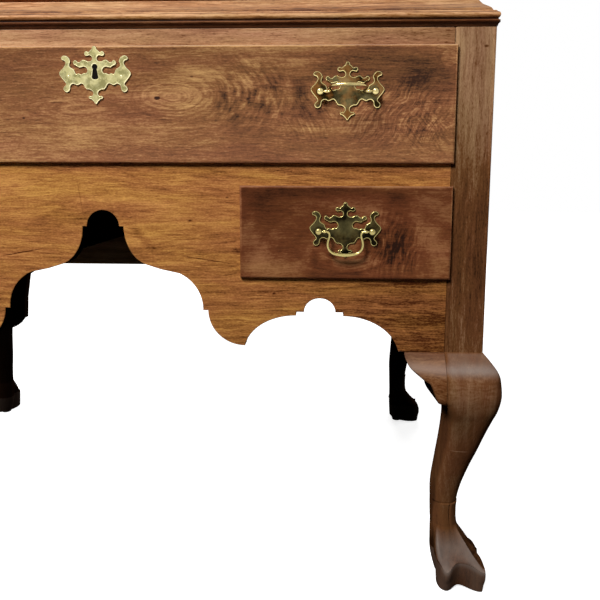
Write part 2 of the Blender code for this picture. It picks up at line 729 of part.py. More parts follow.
def drawer_mesh(width, height, depth):
    """A lipped front with a rounded edge and an open tray behind it, about the opening's centre."""
    half = width / 2 - DRAWER_CLEARANCE
    low = -height / 2 + GAP
    high = height / 2 - DRAWER_CLEARANCE
    lip_half, lip_up = width / 2 + LIP_OVERLAP, height / 2 + LIP_OVERLAP
    rings = [rectangle(half, low, high, FRONT_THICKNESS), rectangle(half, low, high, -GAP)]
    rings.append(rectangle(lip_half, -lip_up, lip_up, -GAP))
    for angle in (0.0, 30.0, 60.0, 90.0):
        inset = LIP_EDGE * (1.0 - math.cos(math.radians(angle)))
        out = LIP_THICKNESS - LIP_EDGE * (1.0 - math.sin(math.radians(angle)))
        rings.append(rectangle(lip_half - inset, -lip_up + inset, lip_up - inset, -out))
    front = loft_mesh("drawer_front", rings)

    tray_half = half - TRAY_INSET
    tray_low, tray_high = low + TRAY_INSET, high - TRAY_TOP_DROP
    near = FRONT_THICKNESS - TRAY_LAP
    inner_half = tray_half - TRAY_WALL
    inner_near, inner_far = FRONT_THICKNESS + TRAY_INSET, depth - TRAY_WALL

    def level(half_width, start, stop, up):
        return [
            (-half_width, start, up),
            (half_width, start, up),
            (half_width, stop, up),
            (-half_width, stop, up),
        ]

    tray = loft_mesh(
        "drawer_tray",
        [
            level(tray_half, near, depth, tray_low),
            level(tray_half, near, depth, tray_high),
            level(inner_half, inner_near, inner_far, tray_high),
            level(inner_half, inner_near, inner_far, tray_low + TRAY_BOTTOM),
        ],
    )
    return combined(front, tray, "UNION")


def plate_outline():
    """The pierced plate's whole outline, its left half mirrored from the right one."""
    right = list(PLATE_HALF)
    return right + [(-across, up) for across, up in reversed(right[1:-1])]


def keyhole_outline():
    """A keyhole: a round eye over a slot that widens downwards."""
    eye = arc((0.0, 0.0121), (0.0035, 0.0035), -50, 230, 8)
    return eye + [(-0.0040, -0.0022), (0.0, -0.0034), (0.0040, -0.0022)]


def pull_plate_mesh():
    """The plate with its two ball-headed studs, each bored on its inner side for the bail."""
    mesh = board_mesh("pull_plate", [plate_outline()], PLATE_THICKNESS)
    mesh.transform(Matrix.Translation((0.0, -PLATE_THICKNESS - GAP, 0.0)))
    stand = PIVOT_STAND
    profile = (
        (0.0, stand + STUD_HEAD_HEIGHT),
        (STUD_HEAD_RADIUS * 0.7, stand + STUD_HEAD_HEIGHT * 0.75),
        (STUD_HEAD_RADIUS, stand),
        (STUD_RADIUS, stand - STUD_HEAD_HEIGHT),
        (STUD_RADIUS, GAP + PLATE_THICKNESS / 2),
        (0.0, GAP + PLATE_THICKNESS / 2),
    )
    hole_radius = BAIL_RADIUS + BAIL_HOLE_CLEARANCE
    for side in (-1.0, 1.0):
        stud = turned_mesh("stud", profile, STUD_SIDES)
        stud.transform(Matrix.Rotation(math.pi / 2, 4, "X"))
        stud.transform(Matrix.Translation((side * PULL_SPACING / 2, 0.0, 0.0)))
        mesh = combined(mesh, stud, "UNION")
        bore = bmesh.new()
        mouth = PULL_SPACING / 2 - STUD_HEAD_RADIUS
        length = 2 * BAIL_HOLE_DEPTH
        place = Matrix.Translation((side * mouth, -stand, 0.0)) @ Matrix.Rotation(math.pi / 2, 4, "Y")
        bmesh.ops.create_cone(
            bore,
            cap_ends=True,
            segments=8,
            radius1=hole_radius,
            radius2=hole_radius,
            depth=length,
            matrix=place,
        )
        cutter = bpy.data.meshes.new("bail_hole")
        bore.to_mesh(cutter)
        bore.free()
        mesh = combined(mesh, cutter, "DIFFERENCE")
    return smooth_mesh(mesh)


def bail_mesh():
    """The swan-necked bail as a wire of changing thickness, hanging from its pivot axis."""
    tip = PULL_SPACING / 2 - STUD_HEAD_RADIUS + BAIL_HOLE_DEPTH - BAIL_TIP_CLEARANCE
    half = [*BAIL_HALF, (tip, 0.0, 0.0)]
    path = [(-across, up, share) for across, up, share in reversed(half[1:])] + half
    curve = bpy.data.curves.new("bail", "CURVE")
    curve.dimensions = "3D"
    curve.bevel_depth = BAIL_RADIUS
    curve.bevel_resolution = 1
    curve.use_fill_caps = True
    spline = curve.splines.new("POLY")
    spline.points.add(len(path) - 1)
    for point, (across, up, share) in zip(spline.points, path):
        point.co = (across, 0.0, up, 1.0)
        point.radius = 1.0 + share * (BAIL_GRIP_RADIUS / BAIL_RADIUS - 1.0)
    item = helper_object("bail", curve)
    mesh = evaluated_mesh(item)
    bpy.data.objects.remove(item)
    return smooth_mesh(mesh, 60.0)


class DrawerMaker:
    """Makes drawers with their pulls, all from one plate mesh and one bail mesh."""

    def __init__(self, shop):
        self.shop = shop
        self.plate = pull_plate_mesh()
        self.bail = bail_mesh()

    def add(self, name, opening, face_y, depth, pulls, raised=()):
        """Add one drawer: its opening as (left, right, bottom, top), its pulls as {name: (x, z)}."""
        left, right, bottom, top = opening
        centre = ((left + right) / 2, face_y, (bottom + top) / 2)
        slide = self.shop.empty(f"{name}_slide", centre, self.shop.root)
        mesh = drawer_mesh(right - left, top - bottom, depth)
        self.shop.piece(name, mesh, self.shop.figured, parent=slide)
        for pull, (across, up) in pulls.items():
            place = (across - centre[0], -LIP_THICKNESS, up - centre[2])
            self.shop.piece(f"{pull}_plate", self.plate, self.shop.brass, place, slide)
            pivot = (place[0], place[1] - PIVOT_STAND, place[2])
            bail = self.shop.piece(f"{pull}_bail", self.bail, self.shop.brass, pivot, slide)
            if pull in raised:
                bail.rotation_euler.x = -RAISED_BAIL_ANGLE
        return slide


def add_lower_drawers(shop, maker):
    """The long drawer with its escutcheon, and the two small drawers in the apron."""
    opening = (-POST_INNER_X, POST_INNER_X, LONG_DRAWER_BOTTOM, LONG_DRAWER_TOP)
    pulls = {
        "long_drawer_pull_left": (-LONG_PULL_X, LONG_PULL_Z),
        "long_drawer_pull_right": (LONG_PULL_X, LONG_PULL_Z),
    }
    raised = ("long_drawer_pull_right",)
    slide = maker.add("long_drawer", opening, 0.0, LOWER_DRAWER_DEPTH, pulls, raised)
    loops = [plate_outline(), keyhole_outline()]
    plate = board_mesh("escutcheon", loops, PLATE_THICKNESS)
    middle = (LONG_DRAWER_BOTTOM + LONG_DRAWER_TOP) / 2
    place = (0.0, -LIP_THICKNESS - PLATE_THICKNESS - GAP, ESCUTCHEON_Z - middle)
    shop.piece("escutcheon", plate, shop.brass, place, slide)

    pull_x = (SMALL_DRAWER_INNER_X + POST_INNER_X) / 2
    for side_name, side in (("left", -1.0), ("right", 1.0)):
        ends = sorted((side * SMALL_DRAWER_INNER_X, side * POST_INNER_X))
        opening = (*ends, SMALL_DRAWER_BOTTOM, SMALL_DRAWER_TOP)
        pulls = {f"small_drawer_pull_{side_name}": (side * pull_x, SMALL_PULL_Z)}
        maker.add(f"small_drawer_{side_name}", opening, 0.0, LOWER_DRAWER_DEPTH, pulls)


def add_upper_drawers(maker):
    """Three long drawers that grow downwards, and two short ones above them."""
    level = UPPER_FLOOR
    for number, row in enumerate(UPPER_ROWS[:-1], start=1):
        opening = (-UPPER_INNER_X, UPPER_INNER_X, level, level + row)
        middle = level + row / 2
        name = f"upper_drawer_{number}"
        pulls = {
            f"{name}_pull_left": (-UPPER_PULL_X, middle),
            f"{name}_pull_right": (UPPER_PULL_X, middle),
        }
        maker.add(name, opening, UPPER_INSET, UPPER_DRAWER_DEPTH, pulls)
        level += row + RAIL_THICKNESS
    inner = PARTITION_THICKNESS / 2
    middle = level + UPPER_ROWS[-1] / 2
    for side_name, side in (("left", -1.0), ("right", 1.0)):
        ends = sorted((side * inner, side * UPPER_INNER_X))
        opening = (*ends, level, level + UPPER_ROWS[-1])
        pulls = {f"top_drawer_pull_{side_name}": (sum(ends) / 2, middle)}
        maker.add(f"top_drawer_{side_name}", opening, UPPER_INSET, UPPER_DRAWER_DEPTH, pulls)


def main():
    """Build the whole highboy."""
    clear_scene()
    shop = Workshop()
    add_legs(shop)
    add_apron(shop)
    add_lower_case(shop)
    add_mouldings(shop)
    add_upper_case(shop)
    maker = DrawerMaker(shop)
    add_lower_drawers(shop, maker)
    add_upper_drawers(maker)


main()
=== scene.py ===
"""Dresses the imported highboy: carved legs, moulded edges, figured walnut and rubbed brass.

Shapes are worked out in the maker's frame: x across the case from its middle, y back from the lower
case's front face, z up from the floor. The workbench moves each piece into the row's frame.
"""

import logging
import math
from collections.abc import Callable, Mapping, Sequence
from dataclasses import dataclass, field
from enum import Enum
from functools import partial
from typing import Any

import bmesh
import bpy
import numpy as np
from mathutils import Matrix, Vector
from mathutils.geometry import tessellate_polygon


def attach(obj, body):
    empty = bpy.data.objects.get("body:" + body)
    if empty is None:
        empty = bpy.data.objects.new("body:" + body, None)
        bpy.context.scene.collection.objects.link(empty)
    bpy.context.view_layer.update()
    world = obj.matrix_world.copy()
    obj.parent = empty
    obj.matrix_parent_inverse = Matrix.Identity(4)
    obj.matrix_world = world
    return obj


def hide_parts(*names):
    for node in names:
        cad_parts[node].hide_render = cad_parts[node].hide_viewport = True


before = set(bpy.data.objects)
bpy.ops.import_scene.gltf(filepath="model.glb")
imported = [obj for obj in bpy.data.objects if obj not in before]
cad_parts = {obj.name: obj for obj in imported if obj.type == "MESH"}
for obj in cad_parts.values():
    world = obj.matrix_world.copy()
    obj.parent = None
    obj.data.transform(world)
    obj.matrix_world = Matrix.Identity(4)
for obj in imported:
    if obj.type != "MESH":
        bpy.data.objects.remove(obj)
log = logging.getLogger("highboy")
Array = np.ndarray
Material = bpy.types.Material
Socket = bpy.types.NodeSocket
Adder = Callable[..., Socket]
Pair = tuple[float, float]
Triple = tuple[float, float, float]

ORIGIN_FROM_FRONT = 0.284
CASE_HALF = 0.515
CASE_DEPTH = 0.600
CASE_TOP = 0.7683
POST = 0.0515
KNEE_TOP = 0.3433
KNEE_REACH = 0.0540
SMALL_INNER = 0.1897
SMALL_ROWS = (0.4468, 0.5639)
LONG_ROWS = (0.5990, 0.7432)
PARTITION_HALF = 0.0095
JOINT_GAP = 0.0003
EASE = 0.0006
LIP_FACE = -0.006
MIRROR = np.array((-1.0, 1.0))


class Side(Enum):
    """Left or right end of the case; the value is the sign of x."""

    LEFT = -1.0
    RIGHT = 1.0

    @property
    def word(self) -> str:
        """The side as pieces' names give it."""
        return self.name.lower()

    def span(self, inner: float, outer: float) -> list[float]:
        """Both ends of a stretch between two distances from the middle, the lower one first."""
        return sorted((self.value * inner, self.value * outer))


class Depth(Enum):
    """Front or back of the case."""

    FRONT = "front"
    BACK = "back"


class Grain(Enum):
    """Which way a board's grain runs; the value turns that way onto a pattern's own x, in radians."""

    ACROSS = (0.0, 0.0, 0.0)
    UPRIGHT = (0.0, math.pi / 2, 0.0)
    DEEP = (0.0, 0.0, -math.pi / 2)


def ramp(value: Array, start: float, stop: float) -> Array:
    """Rise evenly from 0 at the start to 1 at the stop, which may lie below it."""
    return np.clip((value - start) / (stop - start), 0.0, 1.0)


def bell(value: Array, middle: float, width: float) -> Array:
    """Fall as a bell curve from 1 at the middle to 1/e at a width from it."""
    return np.exp(-(((value - middle) / width) ** 2))


def row_point(across: float, back: float, up: float) -> Triple:
    """Turn a place in the maker's frame into the row's frame."""
    return (across, back - ORIGIN_FROM_FRONT, up)


def linear(code: str) -> tuple[float, float, float, float]:
    """Turn an sRGB hex colour into linear RGBA.

    Args:
        code: Six hex digits.

    Returns:
        The linear colour with full alpha.
    """
    srgb = np.array([int(code[i : i + 2], 16) for i in (0, 2, 4)]) / 255.0
    flat = np.where(srgb <= 0.04045, srgb / 12.92, ((srgb + 0.055) / 1.055) ** 2.4)
    return (*flat.tolist(), 1.0)


def add_node(
    tree: bpy.types.NodeTree,
    kind: str,
    inputs: Mapping[Any, Any] | None = None,
    out: int | str = 0,
    **settings: Any,
) -> Socket:
    """Add one shader node.

    Args:
        tree: The material's or the world's node tree.
        kind: The node's type name after the word ShaderNode.
        inputs: For inputs by name or number, a socket to link or a value to set.
        out: Name or number of the wanted output.
        settings: The node's own properties.

    Returns:
        The output, or the first input of a node without outputs.
    """
    node = tree.nodes.new(f"ShaderNode{kind}")
    for name, value in settings.items():
        setattr(node, name, value)
    for key, value in (inputs or {}).items():
        if isinstance(value, Socket):
            tree.links.new(value, node.inputs[key])
        else:
            node.inputs[key].default_value = value
    return node.outputs[out] if node.outputs else node.inputs[0]


def node_adder(owner: Material | bpy.types.World) -> Adder:
    """Clear a material's or a world's nodes.

    Args:
        owner: What the nodes belong to.

    Returns:
        The function that adds a node there.
    """
    owner.use_nodes = True
    owner.node_tree.nodes.clear()
    return partial(add_node, owner.node_tree)


def surfaced(material: Material, add: Adder, inputs: Mapping[str, Any]) -> Material:
    """Close a material's nodes with one principled shader."""
    add("OutputMaterial", {"Surface": add("BsdfPrincipled", inputs)})
    return material


@dataclass(frozen=True)
class Board:
    """What one timber's layers are drawn from.

    Place is the row's frame, run the grain's own, bent the grain's as a real stem wanders, rag a ragged
    noise and rub the mesh's own value, which carries wear and painted highlight and shade.
    """

    add: Adder
    place: Socket
    run: Socket
    bent: Socket
    rag: Socket
    rub: Socket

    def layer(self, at: Socket, cells: Triple, detail: float) -> Socket:
        """One layer of figure: noise, mostly from -1 to 1.

        Args:
            at: Where the noise is read.
            cells: Cells in a metre along x, y and z.
            detail: How many finer octaves are added.

        Returns:
            The layer, centred on nothing.
        """
        at = self.add("VectorMath", {0: at, 1: cells}, operation="MULTIPLY")
        noise = self.add("TexNoise", {0: at, "Scale": 1.0, "Detail": detail, "Roughness": 0.55})
        span = {"From Min": 0.37, "From Max": 0.63, "To Min": -1.0, "To Max": 1.0}
        return self.add("MapRange", {0: noise, **span}, clamp=False)

    def bands(
        self, at: Socket, middle: Triple, squeeze: Triple, ring_mm: float, breaks: float, detail: float
    ) -> Socket:
        """Uneven bands by the squeezed distance from a stem's middle.

        Args:
            at: Where the bands are read.
            middle: The stem's middle.
            squeeze: What a distance along each axis is multiplied by.
            ring_mm: Width of a band.
            breaks: How often a band stops and starts, in cells a metre.
            detail: How many finer octaves are added.

        Returns:
            The bands, centred on nothing.
        """
        offset = self.add("VectorMath", {0: at, 1: middle}, operation="SUBTRACT")
        flat = self.add("VectorMath", {0: offset, 1: squeeze}, operation="MULTIPLY")
        far = self.add("VectorMath", {0: flat}, "Value", operation="LENGTH")
        parts = self.add("SeparateXYZ", {0: offset}).node.outputs
        band = self.add("CombineXYZ", {0: far, 1: parts["X"], 2: parts["Z"]})
        return self.layer(band, (1000.0 / ring_mm, 0.6 * breaks, breaks), detail)

    def swayed(self, scale: float, detail: float, amount: float) -> Socket:
        """The place, moved along every axis by a slow noise times an amount.

        Args:
            scale: Cells of the noise in a metre.
            detail: How many finer octaves are added.
            amount: How far the noise moves a point, in metres.

        Returns:
            The moved place.
        """
        noise = {0: self.place, "Scale": scale, "Detail": detail, "Roughness": 0.5}
        moved = {0: self.add("TexNoise", noise, "Color"), 1: (amount,) * 3, 2: self.place}
        return self.add("VectorMath", moved, operation="MULTIPLY_ADD")

    def flecks(self, shift: float) -> Socket:
        """Short dashes along the grain, where a fine noise rises past a threshold.

        Args:
            shift: How far the noise is moved, so that two sets differ.

        Returns:
            The dashes, from 0 to 1.
        """
        moved = self.add("VectorMath", {0: self.run, 1: (shift,) * 3}, operation="ADD")
        fleck = self.layer(moved, (125.0, 640.0, 640.0), 1.0)
        return self.add("MapRange", {0: fleck, "From Min": 0.65, "From Max": 1.6})


@dataclass(frozen=True)
class Stain:
    """A dark or pale cloud in the wood, ragged at its edge and fading out from its middle.

    X, y and z place it in the maker's frame; long, deep and high are its reach in metres. Depth is how
    far it pulls the tone down, core the share of its reach over which it is full, and turn tips it in
    the board's face, in degrees up to the right.
    """

    x: float
    z: float
    long: float
    high: float
    depth: float
    core: float = 0.0
    ragged: float = 0.9
    turn: float = 0.0
    y: float = 0.0
    deep: float = 0.2

    @property
    def weight(self) -> float:
        """How far the drawn stain moves the tone."""
        return -self.depth

    def draw(self, board: Board) -> Socket:
        """One at the stain's middle, falling smoothly to nothing at its ragged reach.

        Args:
            board: The timber.

        Returns:
            The stain's share at each place.
        """
        add = board.add
        centre = row_point(self.x, self.y, self.z)
        offset = add("VectorMath", {0: board.place, 1: centre}, operation="SUBTRACT")
        turned = add("Mapping", {0: offset, "Rotation": (0.0, math.radians(self.turn), 0.0)})
        shares = (1.0 / self.long, 1.0 / self.deep, 1.0 / self.high)
        scaled = add("VectorMath", {0: turned, 1: shares}, operation="MULTIPLY")
        far = add("VectorMath", {0: scaled}, "Value", operation="LENGTH")
        edge = add("Math", {0: board.rag, 1: self.ragged, 2: far}, operation="MULTIPLY_ADD")
        span = {"From Min": 1.0, "From Max": self.core}
        return add("MapRange", {0: edge, **span}, interpolation_type="SMOOTHSTEP")


@dataclass(frozen=True)
class Patch:
    """A figure that shows only within a stain's reach, as strongly as the stain's depth says."""

    stain: Stain

    @property
    def weight(self) -> float:
        """How far the drawn figure moves the tone."""
        return self.stain.depth

    def lines(self, board: Board) -> Socket:
        """The figure without its bounds."""
        raise NotImplementedError

    def draw(self, board: Board) -> Socket:
        """The figure within its patch."""
        inputs = {0: self.lines(board), 1: self.stain.draw(board)}
        return board.add("Math", inputs, operation="MULTIPLY")


@dataclass(frozen=True)
class Ripple(Patch):
    """Short wavy strokes, as a crotch or a curly stem shows.

    Tilt is the strokes' angle to the grain in degrees; their width and length are in millimetres.
    """

    tilt: float
    wide_mm: float
    long_mm: float

    def lines(self, board: Board) -> Socket:
        """Noise stretched along a tilted line and bent by a slower noise.

        Args:
            board: The timber.

        Returns:
            The strokes.
        """
        swayed = board.swayed(30.0, 2.0, 0.02)
        turned = board.add("Mapping", {0: swayed, "Rotation": (0.0, math.radians(self.tilt), 0.0)})
        return board.layer(turned, (1000.0 / self.long_mm, 20.0, 1000.0 / self.wide_mm), 2.0)


@dataclass(frozen=True)
class Oval(Patch):
    """Growth rings cut at a shallow angle, which show as nested ovals round a middle.

    Squeeze is an oval's height over its length; breaks says how often a ring stops and starts, in cells
    a metre, and sway how far, in metres, a ring wanders.
    """

    middle: Pair
    squeeze: float
    ring_mm: float
    breaks: float = 4.0
    sway: float = 0.008

    def lines(self, board: Board) -> Socket:
        """Bands by the squeezed distance from the oval's middle, a little wavy.

        Args:
            board: The timber.

        Returns:
            The rings.
        """
        # The sway moves every point by about half its strength, so the middle moves with it
        x, z = (value + 0.5 * self.sway for value in self.middle)
        swayed = board.swayed(24.0, 3.0, self.sway)
        return board.bands(swayed, (x, 0.0, z), (self.squeeze, 0.0, 1.0), self.ring_mm, self.breaks, 3.0)


def spots(*rows: tuple[float, ...], sides: Sequence[float] = (1.0,), **rest: float) -> tuple[Stain, ...]:
    """Make stains from rows of their first sizes, once for each side of the case."""
    return tuple(Stain(side * row[0], *row[1:], **rest) for side in sides for row in rows)


@dataclass(frozen=True)
class WoodFinish:
    """An old waxed timber: rings, streaks, fibres, flecks, clouds and ripples added into one tone.

    The tone runs from the dark colour through the middle one to the light one; slow patches tint it
    towards gold or red. Each strength is about how far that layer moves the tone. Pores and glints are
    drawn about twice as coarse as real ones, to show. A pale painted sheen, standing in for the sheen of
    light on the wax, lies on faces that look up, or, where a share from the mesh's value is given, by the
    mesh's own value, of which only the part below zero then darkens the tone as painted shade.
    """

    name: str
    dark: str
    middle: str
    light: str
    grain: Grain = Grain.ACROSS
    mitred: bool = False
    base: float = 0.5
    ring_middle: Triple = (0.3, 0.16, 0.0)
    ring_squeeze: float = 0.05
    ring_mm: float = 7.0
    ring: float = 0.06
    streak: float = 0.05
    fibre: float = 0.08
    speckle: float = 0.04
    cloud: float = 0.08
    cloud_mm: float = 160.0
    pores: float = 0.16
    glints: float = 0.08
    warm: float = 0.04
    gold: str = "fffdf2"
    red: str = "fff3f5"
    figures: tuple[Stain | Patch, ...] = ()
    wear: float = 0.0
    film: float = 0.0
    settled: float = 0.0
    dust: str = "b09a88"
    shade: Triple | None = None
    roughness: float = 0.46
    gloss: float = 0.05

    def build(self) -> Material:
        """Make the timber's material.

        Returns:
            A material whose pattern lies in Object coordinates, so it runs through the piece.
        """
        material = bpy.data.materials.new(self.name)
        board = self._board(node_adder(material))
        fibre = board.layer(board.bent, (34.0, 460.0, 460.0), 2.0)
        patches = board.layer(board.bent, (7.0, 34.0, 34.0), 4.0)
        tone = self._tone(board, fibre, patches)
        span = {"From Min": 0.2, "From Max": 0.8}
        span |= {"To Min": self.roughness + 0.08, "To Max": self.roughness - 0.06}
        inputs = {
            "Base Color": self._colour(board, tone, patches),
            "Roughness": board.add("MapRange", {0: tone, **span}),
            "Normal": board.add("Bump", {"Height": fibre, "Strength": 0.10, "Distance": 0.0005}),
            "Specular IOR Level": self.gloss,
        }
        return surfaced(material, board.add, inputs)

    def _board(self, add: Adder) -> Board:
        """Lay out the coordinates.

        Args:
            add: Adds a node to the material.

        Returns:
            The row's frame, the grain's, the grain's bent by a slow noise, and two noises.
        """
        place = add("TexCoord", out="Object")
        run = add("Mapping", {0: place, "Rotation": self.grain.value})
        if self.mitred:
            # Past the mitres, where |x| + y passes the case's front corner, the grain runs front to back
            parts = add("SeparateXYZ", {0: place}).node.outputs
            far = add("Math", {0: parts["X"]}, operation="ABSOLUTE")
            far = add("Math", {0: far, 1: parts["Y"]}, operation="ADD")
            side = add("Math", {0: far, 1: CASE_HALF - ORIGIN_FROM_FRONT}, operation="GREATER_THAN")
            deep = add("Mapping", {0: place, "Rotation": Grain.DEEP.value})
            run = add("Mix", {0: side, 4: run, 5: deep}, 1, data_type="VECTOR")
        slow = add("VectorMath", {0: run, 1: (3.5, 12.0, 12.0)}, operation="MULTIPLY")
        noise = add("TexNoise", {0: slow, "Scale": 1.0, "Detail": 4.0, "Roughness": 0.5}, "Color")
        bent = add("VectorMath", {0: noise, 1: (0.02, 0.03, 0.03), 2: run}, operation="MULTIPLY_ADD")
        ragged = {"Scale": 26.0, "Detail": 5.0, "Roughness": 0.62, "Distortion": 0.6}
        rag = add("Math", {0: add("TexNoise", {0: place, **ragged}), 1: 0.5}, operation="SUBTRACT")
        return Board(add, place, run, bent, rag, add("Attribute", out="Fac", attribute_name="rub"))

    def _tone(self, board: Board, fibre: Socket, patches: Socket) -> Socket:
        """Add up what lightens and darkens the wood, from 0 for dark to 1 for light.

        Args:
            board: The timber.
            fibre: The layer that also gives the bump.
            patches: The slow layer that also gives the tint.

        Returns:
            The tone.
        """
        add, cells = board.add, 1000.0 / self.cloud_mm
        # The slow bend moves every point by about half its strength, so the rings' middle moves with it
        stem = tuple(value + shift for value, shift in zip(self.ring_middle, (0.010, 0.015, 0.015)))
        # The mesh's value moves the tone: painted highlight and shade, and wear; where the sheen share comes
        # from it, only its part below zero, as painted shade
        rub_shading = add("Math", {0: board.rub, 1: 0.0}, operation="MINIMUM") if self.settled else board.rub
        terms = [
            (self.ring, board.bands(board.bent, stem, (self.ring_squeeze, 1.0, 1.0), self.ring_mm, 2.5, 4.0)),
            (self.streak, board.layer(board.bent, (4.0, 80.0, 80.0), 5.0)),
            (self.fibre, fibre),
            (self.speckle, board.layer(board.run, (320.0, 740.0, 740.0), 1.0)),
            (self.cloud, board.layer(board.bent, (0.7 * cells, cells, cells), 4.0)),
            (-self.pores, board.flecks(0.0)),
            (self.glints, board.flecks(3.7)),
            (self.warm, patches),
            (self.wear, rub_shading),
        ]
        terms += [(figure.weight, figure.draw(board)) for figure in self.figures]
        if self.shade:
            top, bottom, depth = self.shade
            height = add("SeparateXYZ", {0: board.place}, "Z")
            span = {"From Min": top, "From Max": bottom}
            terms.append((-depth, add("MapRange", {0: height, **span}, interpolation_type="SMOOTHSTEP")))
        total: Any = self.base
        for weight, value in terms:
            total = add("Math", {0: value, 1: weight, 2: total}, operation="MULTIPLY_ADD")
        return total

    def _colour(self, board: Board, tone: Socket, patches: Socket) -> Socket:
        """Colour the tone, tint it by the slow patches and lay a pale, patchy painted sheen, a stand-in for
        light on the wax.

        Args:
            board: The timber.
            tone: From 0 for dark to 1 for light.
            patches: The slow layer.

        Returns:
            The colour.
        """
        add = board.add
        base = add("ValToRGB", {"Fac": tone})
        elements = base.node.color_ramp.elements
        elements[0].color, elements[1].color = linear(self.dark), linear(self.light)
        elements.new(0.5).color = linear(self.middle)
        share = add("MapRange", {0: patches, "From Min": -1.0})
        tint = add("Mix", {0: share, 6: linear(self.red), 7: linear(self.gold)}, 2, data_type="RGBA")
        colour = add("Mix", {0: 1.0, 6: base, 7: tint}, 2, data_type="RGBA", blend_type="MULTIPLY")
        # Painted sheen: by the mesh's value where a share from it is given, else on faces that look up
        if self.settled:
            share = add("MapRange", {0: board.rub, "To Max": self.settled})
        else:
            up = add("SeparateXYZ", {0: add("NewGeometry", out="Normal")}, "Z")
            span = {"From Min": 0.12, "From Max": 0.80, "To Max": self.film}
            share = add("MapRange", {0: up, **span}, interpolation_type="SMOOTHSTEP")
        uneven = add("MapRange", {0: patches, "From Min": -1.0, "To Min": 0.70, "To Max": 1.15})
        share = add("Math", {0: share, 1: uneven}, operation="MULTIPLY")
        return add("Mix", {0: share, 6: colour, 7: linear(self.dust)}, 2, data_type="RGBA")


@dataclass(frozen=True)
class BrassFinish:
    """Old cast brass: bright where hands polish it and where a highlight is painted, dull on the flats, with
    warmer patches between.

    The mesh's own rub value says which is which: polish and painted highlight where it is high, patina
    and painted dark reflection where it is low; a noise of blotch_mm breaks it up by the uneven share
    and dents the surface a little.
    """

    name: str
    bright: str
    warm: str
    dull: str
    bright_roughness: float
    dull_roughness: float
    blotch_mm: float
    uneven: float = 0.8
    dents: float = 0.15

    def build(self) -> Material:
        """Make the brass material.

        Returns:
            A metal that mixes the three colours and two roughnesses by the rub value and the blotches.
        """
        material = bpy.data.materials.new(self.name)
        add = node_adder(material)
        rub = add("Attribute", out="Fac", attribute_name="rub")
        blotches = {"Scale": 1000.0 / self.blotch_mm, "Detail": 4.0, "Roughness": 0.6}
        noise = add("TexNoise", {0: add("TexCoord", out="Object"), **blotches}).node.outputs
        channels = add("SeparateColor", {0: noise["Color"]}).node.outputs
        uneven = {0: channels["Red"], 1: self.uneven, 2: -0.5 * self.uneven}
        uneven = add("Math", uneven, operation="MULTIPLY_ADD")
        share = add("Math", {0: rub, 1: uneven}, operation="ADD", use_clamp=True)
        warmth = {0: channels["Green"], "From Min": 0.44, "From Max": 0.58}
        warmth = add("MapRange", warmth, interpolation_type="SMOOTHSTEP")
        flat = add("Mix", {0: warmth, 6: linear(self.dull), 7: linear(self.warm)}, 2, data_type="RGBA")
        rough = {"To Min": self.dull_roughness, "To Max": self.bright_roughness}
        inputs = {
            "Base Color": add("Mix", {0: share, 6: flat, 7: linear(self.bright)}, 2, data_type="RGBA"),
            "Roughness": add("MapRange", {0: share, **rough}),
            "Normal": add("Bump", {"Height": noise["Fac"], "Strength": self.dents, "Distance": 0.0003}),
            "Metallic": 1.0,
        }
        return surfaced(material, add, inputs)


@dataclass(frozen=True)
class PlainFinish:
    """A surface of one even colour, such as the shade inside a keyhole."""

    name: str
    colour: str
    roughness: float

    def build(self) -> Material:
        """Make the even material.

        Returns:
            A material of one colour.
        """
        material = bpy.data.materials.new(self.name)
        inputs = {"Base Color": linear(self.colour), "Roughness": self.roughness, "Specular IOR Level": 0.1}
        return surfaced(material, node_adder(material), inputs)


